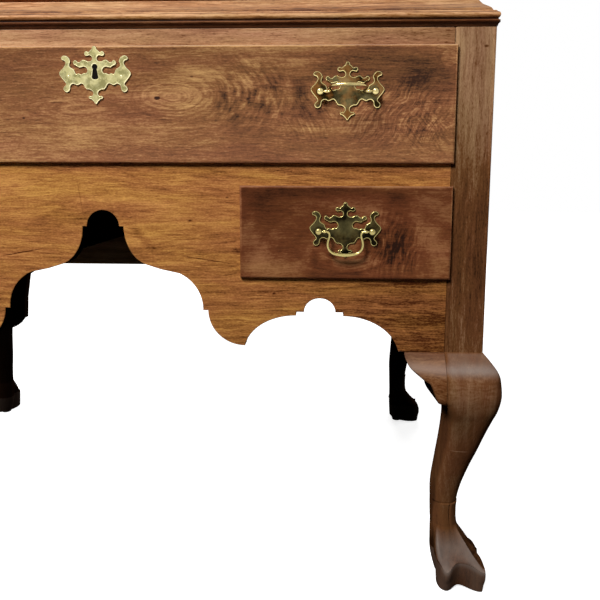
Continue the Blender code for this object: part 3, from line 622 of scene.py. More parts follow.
class Finishes:
    """Every finish on the highboy, built once."""

    def __init__(self) -> None:
        """Build all materials."""
        self._case()
        self._fronts()
        self._legs()
        self._brass()

    def _case(self) -> None:
        """Build the finishes of both cases' boards and mouldings."""
        # Waxed walnut, sawn flat: golden and red patches, fine dark pores, small knots and two thin cracks
        self.apron = WoodFinish(
            "waxed_walnut_apron", "4c260e", "ae7543", "e0a862", ring_middle=row_point(-0.35, 0.10, 0.52),
            ring_squeeze=0.10, ring_mm=3.0, ring=0.10, streak=0.07, fibre=0.13, speckle=0.07, pores=0.13,
            glints=0.16, cloud=0.06, cloud_mm=90.0, warm=0.05, gold="fffbe0", red="fff0ee", film=0.4,
            # The first two spots paint shade: darker towards both lower ends, where the light falls off
            figures=spots((0.47, 0.36, 0.34, 0.22, 0.36, 0.0, 0.3), sides=(1.0, -1.0), deep=0.6) + spots(
                (0.0840, 0.5370, 0.060, 0.018, -0.10, 0.0, 0.8, -4.0),
                (0.0530, 0.4960, 0.030, 0.010, 0.30, 0.0, 1.2, -48.0),
                (0.1833, 0.4790, 0.012, 0.010, 0.34),
                (0.1190, 0.5200, 0.0045, 0.0024, 0.50),
                (0.1693, 0.5510, 0.0034, 0.0020, 0.45),
                (0.2318, 0.4215, 0.0032, 0.0022, 0.45),
                (0.1430, 0.4665, 0.0460, 0.0012, 0.55, 0.3, 0.4, -8.0),
                (-0.1130, 0.4750, 0.0400, 0.0012, 0.60, 0.3, 0.4, 10.5),
                (-0.0300, 0.5530, 0.0340, 0.0012, 0.16, 0.2, 0.3, -82.0),
            ),
        ).build()
        # Waxed walnut rails: the same timber, with painted light: paler left of the middle, darker towards
        # the right end, and a painted sheen on faces that look up
        self.rail = WoodFinish(
            "waxed_walnut_rail", "6a4024", "b88a64", "e6be92", ring_middle=row_point(0.2, 0.14, 0.80),
            ring_mm=5.0, streak=0.07, fibre=0.09, pores=0.22, glints=0.10, film=0.4,
            figures=spots(
                (0.12, 0.755, 0.20, 0.2, 0.12, 0.0, 0.4),
                (0.50, 0.755, 0.34, 0.2, 0.24, 0.0, 0.2),
                (-0.20, 0.755, 0.30, 0.2, -0.10, 0.0, 0.2),
                deep=0.4,
            ),
        ).build()
        # Moulded walnut: streaked; the sections' values paint highlight on the top members and arrises and
        # shade below them
        run = {
            "mitred": True, "ring_middle": row_point(0.1, 0.20, 0.90), "ring_mm": 5.0, "ring": 0.10,
            "wear": 0.42,
        }
        self.moulding = WoodFinish(
            "moulded_walnut", "5a3216", "a87646", "dcb080", base=0.46, streak=0.18, fibre=0.18, pores=0.24,
            film=0.25, **run,
        ).build()
        # The moulding's lower members, painted dark as the shade under the bead
        self.quirk = WoodFinish(
            "wax_darkened_walnut", "1e0e05", "5a351c", "8a5e3c", streak=0.12, **run
        ).build()
        # Near-black wood, grain hardly shows: painted shade on the insides and on the pieces under the case,
        # and near black on the sawn edges
        self.raw_edge = WoodFinish(
            "age_blackened_sawn_edge", "0a0503", "170d08", "281810", streak=0.12, roughness=0.85, gloss=0.0
        ).build()
        # End boards of both cases, long quiet grain
        end = ("4a2b15", "8c5c3a", "b6865c")
        self.end_across = WoodFinish(
            "waxed_walnut_end", *end, Grain.DEEP, ring_middle=(0.1, 0.30, 0.55), ring=0.10
        ).build()
        self.end_upright = WoodFinish(
            "waxed_walnut_upper_end", *end, Grain.UPRIGHT, ring_middle=(1.1, 0.30, 0.30), ring=0.10
        ).build()
        # Bare softwood of backs and drawer boxes, tanned by age, with wide rings and no polish
        self.pine = WoodFinish(
            "aged_pine", "6a4828", "a07a4e", "c2a074", ring_middle=(0.0, 0.9, 1.1), ring_mm=9.0, ring=0.16,
            cloud=0.10, pores=0.04, roughness=0.68,
        ).build()
        self.pine_deep = WoodFinish(
            "aged_poplar_drawer_side", "70502e", "a88658", "c9ac7e", Grain.DEEP, ring_middle=(0.0, 0.4, 0.7),
            ring_mm=9.0, ring=0.12, pores=0.04, roughness=0.66,
        ).build()

    def _fronts(self) -> None:
        """Build the finishes of the drawers' fronts."""
        # Figured walnut of the long drawer: nested ovals round a knot, dark feathers and a rippled flame
        face, eye = {"y": LIP_FACE}, (0.098, 0.6820)
        clouds = spots(
            (0.372, 0.7150, 0.125, 0.040, 0.28, 0.4, 0.5), (0.437, 0.7080, 0.056, 0.048, 0.10, 0.3, 0.5),
            (0.266, 0.6880, 0.024, 0.040, 0.40, 0.0, 1.1), (0.230, 0.7045, 0.034, 0.030, 0.30, 0.0, 1.2),
            (0.286, 0.6620, 0.032, 0.020, 0.24, 0.0, 0.9), (0.202, 0.6730, 0.044, 0.028, 0.14, 0.3, 0.5),
            (0.165, 0.6840, 0.020, 0.030, 0.20, 0.0, 1.5), (0.182, 0.6520, 0.036, 0.016, 0.14, 0.0, 1.0),
            (0.420, 0.6460, 0.070, 0.045, 0.10, 0.0, 0.6), (0.018, 0.6745, 0.050, 0.008, 0.12, 0.0, 0.6),
            (0.104, 0.6835, 0.066, 0.034, -0.20, 0.3, 0.3), (0.261, 0.7245, 0.022, 0.009, -0.16, 0.0, 0.8),
            (0.455, 0.7290, 0.011, 0.011, -0.22, 0.85, 0.05), (0.383, 0.6265, 0.034, 0.020, -0.10, 0.0, 0.9),
            (0.0803, 0.6797, 0.0048, 0.0028, 0.8, 0.5, 0.2), (0.1263, 0.707, 0.0034, 0.0017, 0.5, 0.2, 0.3),
            (-0.098, 0.654, 0.0032, 0.0024, 0.5, 0.2, 0.3), (-0.052, 0.6745, 0.013, 0.001, 0.34, 0.2, 0.3),
            (0.1437, 0.7090, 0.052, 0.011, -0.20, 0.0, 0.6, -12.0), **face,
        )
        self.long_front = WoodFinish(
            "figured_walnut_long_drawer", "3c281e", "926240", "d8a872",
            ring_middle=row_point(0.15, 0.10, 0.60), ring_mm=5.0, ring=0.05, streak=0.04, speckle=0.05,
            pores=0.14, glints=0.12, cloud_mm=80.0, warm=0.03,
            figures=(
                *clouds,
                Ripple(Stain(0.395, 0.660, 0.110, 0.058, 0.16, 0.3, **face), 58.0, 2.8, 15.0),
                Ripple(Stain(0.430, 0.640, 0.060, 0.045, 0.15, 0.2, **face), -52.0, 2.8, 15.0),
                Ripple(Stain(0.280, 0.665, 0.070, 0.060, 0.10, 0.2, **face), -64.0, 3.0, 17.0),
                Oval(Stain(*eye, 0.080, 0.040, 0.13, 0.5, 0.3, **face), eye, 0.46, 3.0, 9.0, 0.011),
                Oval(
                    Stain(-0.040, 0.6670, 0.085, 0.026, 0.12, 0.4, 0.3, **face),
                    (-0.020, 0.6670), 0.24, 3.6, 5.0,
                ),
                Oval(Stain(0.205, 0.6850, 0.090, 0.064, 0.22, 0.3, 0.5, **face), eye, 0.62, 4.6, 60.0, 0.014),
            ),
            wear=0.34, film=0.5, roughness=0.44,
        ).build()
        # Darker, redder crotch walnut of the small drawers, rubbed smooth
        clouds = spots(
            (0.372, 0.498, 0.050, 0.050, 0.20), (0.396, 0.500, 0.030, 0.046, 0.24),
            (0.214, 0.546, 0.034, 0.026, 0.22), (0.250, 0.560, 0.050, 0.012, 0.16),
            (0.365, 0.552, 0.070, 0.020, 0.20), (0.394, 0.536, 0.028, 0.024, 0.16),
            (0.412, 0.494, 0.022, 0.040, 0.12), (0.287, 0.474, 0.010, 0.020, 0.28),
            (0.307, 0.472, 0.008, 0.018, 0.22), (0.386, 0.478, 0.008, 0.026, 0.26),
            (0.330, 0.450, 0.080, 0.008, 0.14), (0.330, 0.562, 0.060, 0.010, 0.12),
            (0.450, 0.520, 0.030, 0.060, -0.12), (0.215, 0.470, 0.034, 0.030, -0.18),
            (0.254, 0.457, 0.040, 0.014, -0.14), (0.330, 0.467, 0.050, 0.009, -0.16),
            (0.455, 0.460, 0.024, 0.024, -0.06), (0.200, 0.510, 0.018, 0.040, -0.08),
            sides=(-1.0, 1.0), **face,
        )
        flames: list[Patch] = []
        for side in Side:
            patch = Stain(side.value * 0.392, 0.488, 0.060, 0.055, 0.20, 0.2, **face)
            flames.append(Ripple(patch, 78.0, 3.2, 18.0))
            x = side.value * 0.330
            patch = Stain(x, 0.468, 0.090, 0.030, 0.12, 0.2, 0.4, **face)
            flames.append(Oval(patch, (x, 0.490), 0.55, 4.2, 14.0))
        self.small_front = WoodFinish(
            "crotch_walnut_small_drawer", "26140b", "714126", "b07e54",
            ring_middle=row_point(0.33, 0.03, 0.44), ring_squeeze=0.8, ring_mm=12.0, streak=0.03,
            fibre=0.05, cloud=0.18, cloud_mm=60.0, pores=0.10,
            base=0.48, figures=(*clouds, *flames), wear=0.26, film=0.12, roughness=0.42,
        ).build()
        # Figured walnut of the upper drawers, cut from the same stem as the long one
        high = (-0.05, 1.16)
        self.upper_front = WoodFinish(
            "figured_walnut_upper_drawer", "402819", "92603a", "c08e60",
            ring_middle=row_point(-0.05, 0.10, 0.80), ring_squeeze=0.10, pores=0.14, glints=0.10,
            cloud=0.12, cloud_mm=130.0, warm=0.03,
            figures=(
                Ripple(Stain(0.26, 1.12, 0.20, 0.16, 0.12, 0.1, y=0.02, deep=0.3), 64.0, 4.5, 20.0),
                Ripple(Stain(-0.22, 1.30, 0.22, 0.18, 0.12, 0.1, y=0.02, deep=0.3), -60.0, 4.5, 20.0),
                Oval(Stain(*high, 0.36, 0.30, 0.10, 0.2, 0.6, y=0.03, deep=0.3), high, 0.30, 7.0, 5.0),
            ),
            wear=0.34, film=0.5, roughness=0.44,
        ).build()

    def _legs(self) -> None:
        """Build the finishes of the posts, the legs and the knee blocks."""
        # Posts and legs: straight-grained walnut, greyer above with a painted sheen on the knee, and painted
        # shade that darkens them below
        leg = {
            "grain": Grain.UPRIGHT, "base": 0.88, "ring_middle": (0.3, 0.30, 0.55), "ring_mm": 5.0,
            "ring": 0.04, "streak": 0.03, "fibre": 0.025, "speckle": 0.02, "pores": 0.08, "glints": 0.0,
            "settled": 0.66, "shade": (0.74, 0.36, 0.49), "dust": "a0938a", "wear": 0.30,
            "roughness": 0.42, "gloss": 0.0,
        }
        post = leg | {"streak": 0.08, "fibre": 0.08, "speckle": 0.05, "pores": 0.16, "base": 0.91}
        post |= {"shade": (0.76, 0.44, 0.50)}
        knot = Stain(0.5030, 0.7445, 0.0042, 0.0024, 0.5, 0.2, 0.3, deep=0.1)
        self.post = WoodFinish(
            "waxed_walnut_post", "22130a", "724a2c", "b28e6c", figures=(knot,), **post
        ).build()
        # A pale scratch, a lit knee with fine crackle, a paler shin and a dark foot
        scratch = Stain(0.4890, 0.2028, 0.0165, 0.0009, -0.35, 0.4, 0.3, -1.2, 0.004, 0.05)
        marks: list[Stain | Patch] = [scratch]
        for side in Side:
            x = side.value * 0.500
            crackle = Stain(x, 0.300, 0.060, 0.040, 0.045, 0.3, y=-0.020, deep=0.12)
            marks += [
                Stain(x, 0.288, 0.070, 0.050, -0.09, y=-0.020, deep=0.12),
                Stain(x, 0.020, 0.140, 0.070, 0.13, 0.4, 0.3, y=-0.010, deep=0.16),
                Stain(side.value * 0.490, 0.190, 0.120, 0.160, -0.08, 0.4, 0.3, deep=0.16),
                Ripple(crackle, side.value * 4.0, 3.0, 16.0),
            ]
        self.leg = WoodFinish(
            "waxed_walnut_leg", "22130a", "744c2f", "ba9676", figures=tuple(marks), **leg
        ).build()
        # Back legs: the same timber, painted near black as the shade under the case, with less painted sheen
        leg |= {"settled": 0.25}
        self.back_leg = WoodFinish("unpolished_walnut_back_leg", "0e0703", "24150c", "4a3424", **leg).build()
        # Knee blocks: offcuts with the grain across, a shade redder than the leg
        self.block = WoodFinish(
            "waxed_walnut_block", "281409", "683f22", "9c7250", ring_middle=(0.2, 0.2, 0.5), ring_mm=5.0,
            settled=0.52, dust="aa9284", roughness=0.42, gloss=0.0,
        ).build()

    def _brass(self) -> None:
        """Build the finishes of the pulls and the escutcheons."""
        # Pull brass: edges and grips polished by hands and painted as highlight, flats golden brown with
        # orange patches, dulled by patina and painted as a dark reflection
        self.pull_brass = BrassFinish(
            "rubbed_cast_brass", "d6c588", "744c24", "221b0a", 0.20, 0.30, 24.0, uneven=0.9
        ).build()
        # The small drawers' pulls, darker: flats dark olive
        self.dull_brass = BrassFinish(
            "dull_cast_brass", "a89a62", "2c2310", "100d06", 0.24, 0.36, 24.0, uneven=0.6
        ).build()
        # Escutcheon brass: pale yellow-green, scoured and dented, dull in its hollows
        self.plate_brass = BrassFinish(
            "pale_cast_brass", "e6deae", "a69e6e", "7c764c", 0.30, 0.42, 11.0, uneven=1.3, dents=0.5
        ).build()
        # The unlit inside of the lock's hole
        self.shade = PlainFinish("keyhole_shade", "0a0705", 0.9).build()


@dataclass
class Solid:
    """Points and faces of a closed piece, with the finish's rub value for each point: wear and painted
    highlight and shade.
    """

    points: Array
    faces: list[list[int]]
    rub: Array | None = None

    def moved(self, across: float, back: float, up: float) -> "Solid":
        """Give a copy at another place."""
        return Solid(self.points + np.array((across, back, up)), self.faces, self.rub)

    def turned(self, angle: float) -> "Solid":
        """Give a copy turned about the x axis, in degrees."""
        turn = np.array(Matrix.Rotation(math.radians(angle), 3, "X"))
        return Solid(self.points @ turn.T, self.faces, self.rub)

    def sideways(self, start: float, back: float = 0.0, sign: float = 1.0) -> "Solid":
        """Give a copy that runs front to back and is raised across the case from a start."""
        x, y, z = self.points.T
        return Solid(np.stack([sign * (start + y), back + x, z], 1), self.faces)

    def mirrored(self) -> "Solid":
        """Give a copy with x turned round."""
        points = self.points * np.array((-1.0, 1.0, 1.0))
        return Solid(points, [face[::-1] for face in self.faces], self.rub)


def joined(solids: Sequence[Solid]) -> Solid:
    """Put several closed pieces into one, their points one after another.

    Args:
        solids: The pieces.

    Returns:
        One solid of several closed shells.
    """
    starts = np.cumsum([0] + [len(solid.points) for solid in solids]).tolist()
    faces = [
        [index + start for index in face] for solid, start in zip(solids, starts) for face in solid.faces
    ]
    rubs_and_shading = [np.zeros(len(solid.points)) if solid.rub is None else solid.rub for solid in solids]
    return Solid(np.concatenate([solid.points for solid in solids]), faces, np.concatenate(rubs_and_shading))


def ring_faces(rows: int, columns: int, start: int = 0) -> list[list[int]]:
    """Quads of a grid that closes round its columns.

    Args:
        rows: How many rings.
        columns: How many points in each ring.
        start: Number of the first point.

    Returns:
        Four point numbers for each quad.
    """
    row = np.arange(rows - 1)[:, None] * columns + start
    here = row + np.arange(columns)[None, :]
    after = row + (np.arange(columns)[None, :] + 1) % columns
    return np.stack([here, after, after + columns, here + columns], -1).reshape(-1, 4).tolist()


def skin(rings: Array, rub: Array | None = None) -> Solid:
    """Close a stack of rings into a solid: quads between rings and one flat face at each end.

    Args:
        rings: Points by ring, column and axis.
        rub: Rub value by ring and column.

    Returns:
        The closed solid.
    """
    rows, columns = rings.shape[:2]
    faces = ring_faces(rows, columns)
    faces.append(list(range(columns))[::-1])
    faces.append(list(range((rows - 1) * columns, rows * columns)))
    return Solid(rings.reshape(-1, 3), faces, None if rub is None else rub.reshape(-1))


def smooth_through(points: Sequence[Sequence[float]] | Array, per: int, closed: bool = False) -> Array:
    """Run a Catmull-Rom curve through points: each stretch is a cubic led by its two neighbours.

    Args:
        points: The points, by number and axis.
        per: Samples on each stretch.
        closed: Whether the last point leads back to the first.

    Returns:
        The samples in order.
    """
    points = np.asarray(points, dtype=float)
    if closed:
        stretch = [np.roll(points, shift, 0) for shift in (1, 0, -1, -2)]
    else:
        padded = np.concatenate([2 * points[:1] - points[1:2], points, 2 * points[-1:] - points[-2:-1]])
        stretch = [padded[:-3], padded[1:-2], padded[2:-1], padded[3:]]
    t = np.linspace(0.0, 1.0, per, endpoint=False)[None, :, None]
    p0, p1, p2, p3 = (part[:, None, :] for part in stretch)
    bend, twist = 2 * p0 - 5 * p1 + 4 * p2 - p3, 3 * p1 - p0 - 3 * p2 + p3
    curve = 0.5 * (2 * p1 + (p2 - p0) * t + bend * t**2 + twist * t**3)
    curve = curve.reshape(-1, points.shape[1])
    return curve if closed else np.concatenate([curve, points[-1:]])


def arc(centre: Pair, radii: Pair, start: float, stop: float, steps: int) -> Array:
    """Points on an ellipse's arc between two angles in degrees, ends included."""
    angle = np.radians(np.linspace(start, stop, steps + 1))
    return np.stack([centre[0] + radii[0] * np.cos(angle), centre[1] + radii[1] * np.sin(angle)], 1)


def rightly_wound(loop: Array, hole: bool) -> Array:
    """Order a loop by the sign of its enclosed area.

    Args:
        loop: The points in order.
        hole: Whether the loop bounds a hole.

    Returns:
        The loop, anticlockwise, or clockwise for a hole.
    """
    following = np.roll(loop, -1, 0)
    area = np.sum(loop[:, 0] * following[:, 1] - following[:, 0] * loop[:, 1])
    return loop if (area > 0) != hole else loop[::-1]


def inset(loop: Array, distance: float) -> Array:
    """Move a loop's points into the material, along the normal of their neighbours' chord.

    Args:
        loop: The points in order.
        distance: How far they move.

    Returns:
        The moved points.
    """
    chord = np.roll(loop, -1, 0) - np.roll(loop, 1, 0)
    normal = np.stack([-chord[:, 1], chord[:, 0]], 1)
    length = np.maximum(np.linalg.norm(normal, axis=1, keepdims=True), 1e-9)
    return loop + normal / length * distance


def slab(loops: Sequence[Array], steps: Sequence[Triple]) -> Solid:
    """Raise a flat outline through several depths, inset by a little at each, and close both faces.

    Args:
        loops: The outer outline in x and z, then any holes.
        steps: For each depth an inset, the depth along y and the rub value there.

    Returns:
        The closed slab.
    """
    wound = [rightly_wound(np.asarray(loop, float), number > 0) for number, loop in enumerate(loops)]
    starts = np.cumsum([0] + [len(loop) * len(steps) for loop in wound]).tolist()
    points: list[Array] = []
    rubs_and_shading: list[Array] = []
    faces: list[list[int]] = []
    for loop, start in zip(wound, starts):
        for distance, depth, rub in steps:
            flat = inset(loop, distance)
            points.append(np.insert(flat, 1, depth, axis=1))
            rubs_and_shading.append(np.full(len(loop), rub))
        faces += ring_faces(len(steps), len(loop), start)
    for level in (0, len(steps) - 1):
        flats = [inset(loop, steps[level][0]).tolist() for loop in wound]
        numbers = [start + level * len(loop) + np.arange(len(loop)) for start, loop in zip(starts, wound)]
        triangles = tessellate_polygon([[Vector((*pair, 0.0)) for pair in flat] for flat in flats])
        faces += np.concatenate(numbers)[np.array(triangles, int)].tolist()
    return Solid(np.concatenate(points), faces, np.concatenate(rubs_and_shading))


def board_steps(thickness: float, ease: float = EASE) -> list[Triple]:
    """Depths of a board with both arrises eased by a small slope."""
    return [(ease, 0.0, 0.0), (0.0, ease, 0.0), (0.0, thickness - ease, 0.0), (ease, thickness, 0.0)]


def eased_box(low: Sequence[float], high: Sequence[float], ease: float = 0.0008) -> Solid:
    """A squared board with every arris eased: a rectangle with cut corners, raised by a slab's steps.

    Args:
        low: Lowest corner.
        high: Highest corner.
        ease: Width of the eased arris.

    Returns:
        The board.
    """
    (x0, y0, z0), (x1, y1, z1) = low, high
    loop = (
        (x0 + ease, z0), (x1 - ease, z0), (x1, z0 + ease), (x1, z1 - ease),
        (x1 - ease, z1), (x0 + ease, z1), (x0, z1 - ease), (x0, z0 + ease),
    )
    return slab([np.array(loop)], board_steps(y1 - y0, ease)).moved(0.0, y0, 0.0)


def tube(path: Array, radii: Array, sides: int) -> Solid:
    """Carry a circle of changing radius along a path in the x-z plane.

    Args:
        path: Points along the middle.
        radii: The radius at each point.
        sides: Points round the circle.

    Returns:
        The closed wire.
    """
    run = np.gradient(path, axis=0)
    run /= np.linalg.norm(run, axis=1, keepdims=True)
    across = np.array((0.0, 1.0, 0.0))
    normal = np.cross(run, across)
    angle = np.linspace(0.0, 2.0 * math.pi, sides, endpoint=False)
    circle = np.cos(angle)[None, :, None] * normal[:, None, :] + np.sin(angle)[None, :, None] * across
    return skin(path[:, None, :] + radii[:, None, None] * circle)


def turned_knob(profile: Array, sides: int) -> Solid:
    """Turn a profile of radius and height about the y axis, the height running out to the front.

    Args:
        profile: Radius and height pairs from base to tip.
        sides: Points round the axis.

    Returns:
        The closed knob.
    """
    angle = np.linspace(0.0, 2.0 * math.pi, sides, endpoint=False)
    radius, height = profile[:, 0:1], np.broadcast_to(-profile[:, 1:2], (len(profile), sides))
    return skin(np.stack([radius * np.cos(angle), height, radius * np.sin(angle)], -1))


def turned_away(middles: Array, normals: Array) -> Array:
    """Pick the faces of a front board that don't look forward."""
    return normals[:, 1] > -0.35


@dataclass
class Workbench:
    """Turns solids into named objects that ride on the CAD bodies."""

    finishes: Finishes
    count: int = 0

    def place(
        self,
        name: str,
        solid: Solid,
        material: Material,
        nodes: Sequence[str] = (),
        slot: str = "walnut_case",
        crease: float = 38.0,
        body: str = "case",
        second: tuple[Material, Callable[[Array, Array], Array]] | None = None,
    ) -> None:
        """Make one object, smooth but for its creases, and join it to a body.

        Args:
            name: The object's name.
            solid: Its shape in the maker's frame.
            material: Its finish.
            nodes: CAD nodes that it stands for.
            slot: A material slot's name; not used.
            crease: Angle in degrees past which an edge stays sharp.
            body: The CAD body that carries it.
            second: Another finish, and a function of the faces' middles and normals that picks where it goes.
        """
        mesh = bpy.data.meshes.new(name)
        points = solid.points - np.array((0.0, ORIGIN_FROM_FRONT, 0.0))
        mesh.from_pydata(points.tolist(), [], solid.faces)
        shape = bmesh.new()
        shape.from_mesh(mesh)
        bmesh.ops.recalc_face_normals(shape, faces=shape.faces)
        shape.to_mesh(mesh)
        shape.free()
        # The per-point value carries wear and painted highlight and shade into the finishes
        if solid.rub is not None:
            layer = mesh.attributes.new("rub", "FLOAT", "POINT")
            layer.data.foreach_set("value", solid.rub.astype(np.float32))
        mesh.shade_smooth()
        mesh.set_sharp_from_angle(angle=math.radians(crease))
        mesh.materials.append(material)
        if second:
            mesh.materials.append(second[0])
            spans = np.empty((2, len(mesh.polygons) * 3), np.float32)
            for values, key in zip(spans, ("center", "normal")):
                mesh.polygons.foreach_get(key, values)
            picked = second[1](*spans.reshape(2, -1, 3).astype(float))
            mesh.polygons.foreach_set("material_index", picked.astype(np.int32))
        item = bpy.data.objects.new(name, mesh)
        bpy.context.scene.collection.objects.link(item)
        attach(item, body)
        if nodes:
            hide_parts(*nodes)
        self.count += 1
        log.info("%s: %d points on %s", name, len(points), body)


@dataclass
class Assembly:
    """A sub-assembly, which places its pieces through the workbench."""

    bench: Workbench

    @property
    def finishes(self) -> Finishes:
        """Every finish on the bench."""
        return self.bench.finishes


@dataclass
class CabrioleLeg(Assembly):
    """A leg cut from one timber: square post, swelling knee, round ankle and trifid foot.

    Each row of the profile gives a height, how far the outer faces swell past the post there and how
    far the inner faces move out. Angles run from the leg's outward diagonal.
    """

    knee_foot: float = 0.2780
    square_from: float = 0.2960
    ankle: float = 0.0780
    columns: int = 160
    profile: tuple[Triple, ...] = (
        (KNEE_TOP, 0.0000, 0.0000), (0.3334, 0.0086, 0.0000), (0.3195, 0.0186, 0.0000),
        (0.3056, 0.0244, 0.0000), (0.2901, 0.0263, 0.0000), (0.2780, 0.0254, 0.0006),
        (0.2640, 0.0222, 0.0042), (0.2494, 0.0170, 0.0052), (0.2249, 0.0092, 0.0026),
        (0.1999, 0.0020, -0.0005), (0.1742, -0.0060, -0.0032),
        (0.1395, -0.0152, -0.0062), (0.1097, -0.0201, -0.0056), (0.0900, -0.0206, -0.0050),
        (0.0780, -0.0196, -0.0044),
    )
    foot_inset: float = 0.0117
    middle_toe: float = 0.0735
    side_toe: float = 0.0525
    toe_angle: float = 48.0
    toe_spread: float = 11.0
    ridge_width: float = 9.0
    ridge_turn: float = 30.0
    twist_top: float = 0.1180
    shine: float = 0.3232
    web: float = 0.0440
    web_recess: float = 0.0078
    web_lift: float = 0.0055
    heel: float = 0.0182
    heel_floor: float = 0.0095
    toe_wall: float = 0.0300
    web_wall: float = 0.0410
    slope_rows: int = 33
    wall_rows: int = 15
    panel_top: float = 0.1130
    panel_raise: float = 0.0015
    groove: float = 0.0013

    def curves(self, height: Array) -> tuple[Array, Array]:
        """Outer swell and inner shift at each height, read from a smooth curve through the profile."""
        rows = smooth_through(self.profile, 12)[::-1]
        return np.interp(height, rows[:, 0], rows[:, 1]), np.interp(height, rows[:, 0], rows[:, 2])

    def angles(self) -> Array:
        """Angles round the leg from its outward diagonal, from -180 to 180 degrees, as one row."""
        return np.linspace(-math.pi, math.pi, self.columns, endpoint=False)[None, :]

    def _twist(self) -> Array:
        """How far round the ankle each line of the foot starts from its own angle.

        The turn grows by a squared sine from the middle toe to the side toes, whose ridges so rise to the
        ankle's sides, and dies evenly towards the heel.

        Returns:
            The turn in radians by column.
        """
        degrees = np.abs(np.degrees(self.angles()))
        grown = np.sin(math.pi / 2 * np.minimum(degrees / self.toe_angle, 1.0)) ** 2
        left = ramp(degrees, 180.0, self.toe_angle)
        return np.sign(self.angles()) * math.radians(self.ridge_turn) * grown * left

    def _rounded(self, height: Array, angle: Array) -> Array:
        """Radius of the section, a rounded square: the half-width times (|cos|^n + |sin|^n)^(-1/n).

        The power n is high for the post and falls to a circle's at the ankle, first on the outer corner.

        Args:
            height: The rings' heights.
            angle: Angles by ring and column.

        Returns:
            The radius by ring and column.
        """
        outer, inner = self.curves(height)
        half = ((POST + outer - inner) / 2)[:, None]
        share = ramp(height, self.ankle, self.knee_foot)[:, None]
        rise = ramp(height, self.square_from, KNEE_TOP)[:, None]
        rest = ramp(height, self.knee_foot, self.knee_foot + 0.006)[:, None]
        outer_power = 2.15 + 1.65 * share + 66.0 * rise**3
        other_power = 2.15 + 11.0 * share**8 + 60.0 * rest
        world = angle + math.pi / 4
        power = np.where(np.abs(angle) < math.pi / 4, outer_power, other_power)
        total = np.abs(np.cos(world)) ** power + np.abs(np.sin(world)) ** power
        return half * total ** (-1.0 / power)

    def _panels(self, height: Array, angle: Array) -> Array:
        """Raised tongues above the toes: a low step at their top, with a fine groove between them.

        Args:
            height: Heights by ring and column.
            angle: Angles by ring and column.

        Returns:
            What is added to the radius.
        """
        degrees = np.degrees(np.abs(angle))
        below = ramp(height, self.panel_top, self.panel_top - 0.0012)
        return below * (self.panel_raise * ramp(degrees, 70.0, 62.0) - self.groove * bell(degrees, 24.0, 3.2))

    def _plan(self) -> tuple[Array, Array, Array]:
        """The foot's outline by angle.

        Between toes the outline is the chord of their tips, drawn in by a squared sine; behind the side
        toes it falls by a bell curve and a smooth step to the heel. A short mean rounds the tips.

        Returns:
            The outline, how near a toe each angle is, and how far it is between two toes.
        """
        degrees = np.abs(np.degrees(self.angles()))
        inside = np.minimum(degrees, self.toe_angle)
        turn, span = np.radians(inside), math.radians(self.toe_angle)
        across = self.middle_toe * np.sin(turn) + self.side_toe * np.sin(span - turn)
        middle = np.sin(math.pi * inside / self.toe_angle) ** 2
        between = self.middle_toe * self.side_toe * math.sin(span) / across - self.web_recess * middle
        front = ramp(degrees, 88.0, 58.0)
        base = self.heel + (self.web - self.heel) * front * front * (3.0 - 2.0 * front)
        past = np.maximum(degrees - self.toe_angle, 0.0) / self.toe_spread
        behind = base + (self.side_toe - base) * np.exp(-(past**2.2))
        plan = np.where(degrees <= self.toe_angle, between, behind)
        weights = zip(range(-2, 3), (0.1, 0.2, 0.4, 0.2, 0.1))
        plan = sum(weight * np.roll(plan, step, 1) for step, weight in weights)
        ridge = bell(degrees, 0.0, self.ridge_width) + bell(degrees, self.toe_angle, self.ridge_width)
        return plan, np.clip(ridge, 0.0, 1.0), middle

    def _foot(self) -> tuple[Array, Array]:
        """The foot below the ankle.

        At each angle a line runs out and down from the ankle to the top of the foot's wall, straight
        along a toe's ridge and hollow between toes; the wall then drops to the floor, cut back below
        and lifted between toes, and turns in to a hollow underside.

        Returns:
            Radius and height by ring and column.
        """
        angle, twist = self.angles(), self._twist()
        plan, ridge, middle = self._plan()
        front = ramp(np.abs(np.degrees(angle)), 88.0, 58.0)
        wall = self.web_wall + (self.toe_wall - self.web_wall) * ridge
        s = np.linspace(0.0, 1.0, self.slope_rows + 1)[1:, None]
        start = self._rounded(np.array([self.ankle]), angle + twist)
        slope_z = wall + (self.ankle - wall) * (1.0 - s) ** (2.5 - 1.35 * ridge)
        slope_r = start + (plan - start) * s
        slope_r = slope_r + ramp(s, 0.625, 0.0) * self._panels(slope_z, angle + twist * (1.0 - s))
        q = np.linspace(0.0, 1.0, self.wall_rows + 1)[1:, None]
        under = 0.0032 * ridge + 0.0030 * front * (1.0 - ridge)
        under = under + (self.heel - self.heel_floor) * (1.0 - front)
        bulge = 0.0012 * np.sin(math.pi * np.minimum(q * 1.6, 1.0)) * ridge
        wall_r = plan + bulge - under * q**1.6
        wall_z = wall * (1.0 - q) + self.web_lift * middle * q
        sole_r, sole_z = 0.5 * wall_r[-1:], np.full_like(wall_z[-1:], 0.0045)
        return np.concatenate([slope_r, wall_r, sole_r]), np.concatenate([slope_z, wall_z, sole_z])

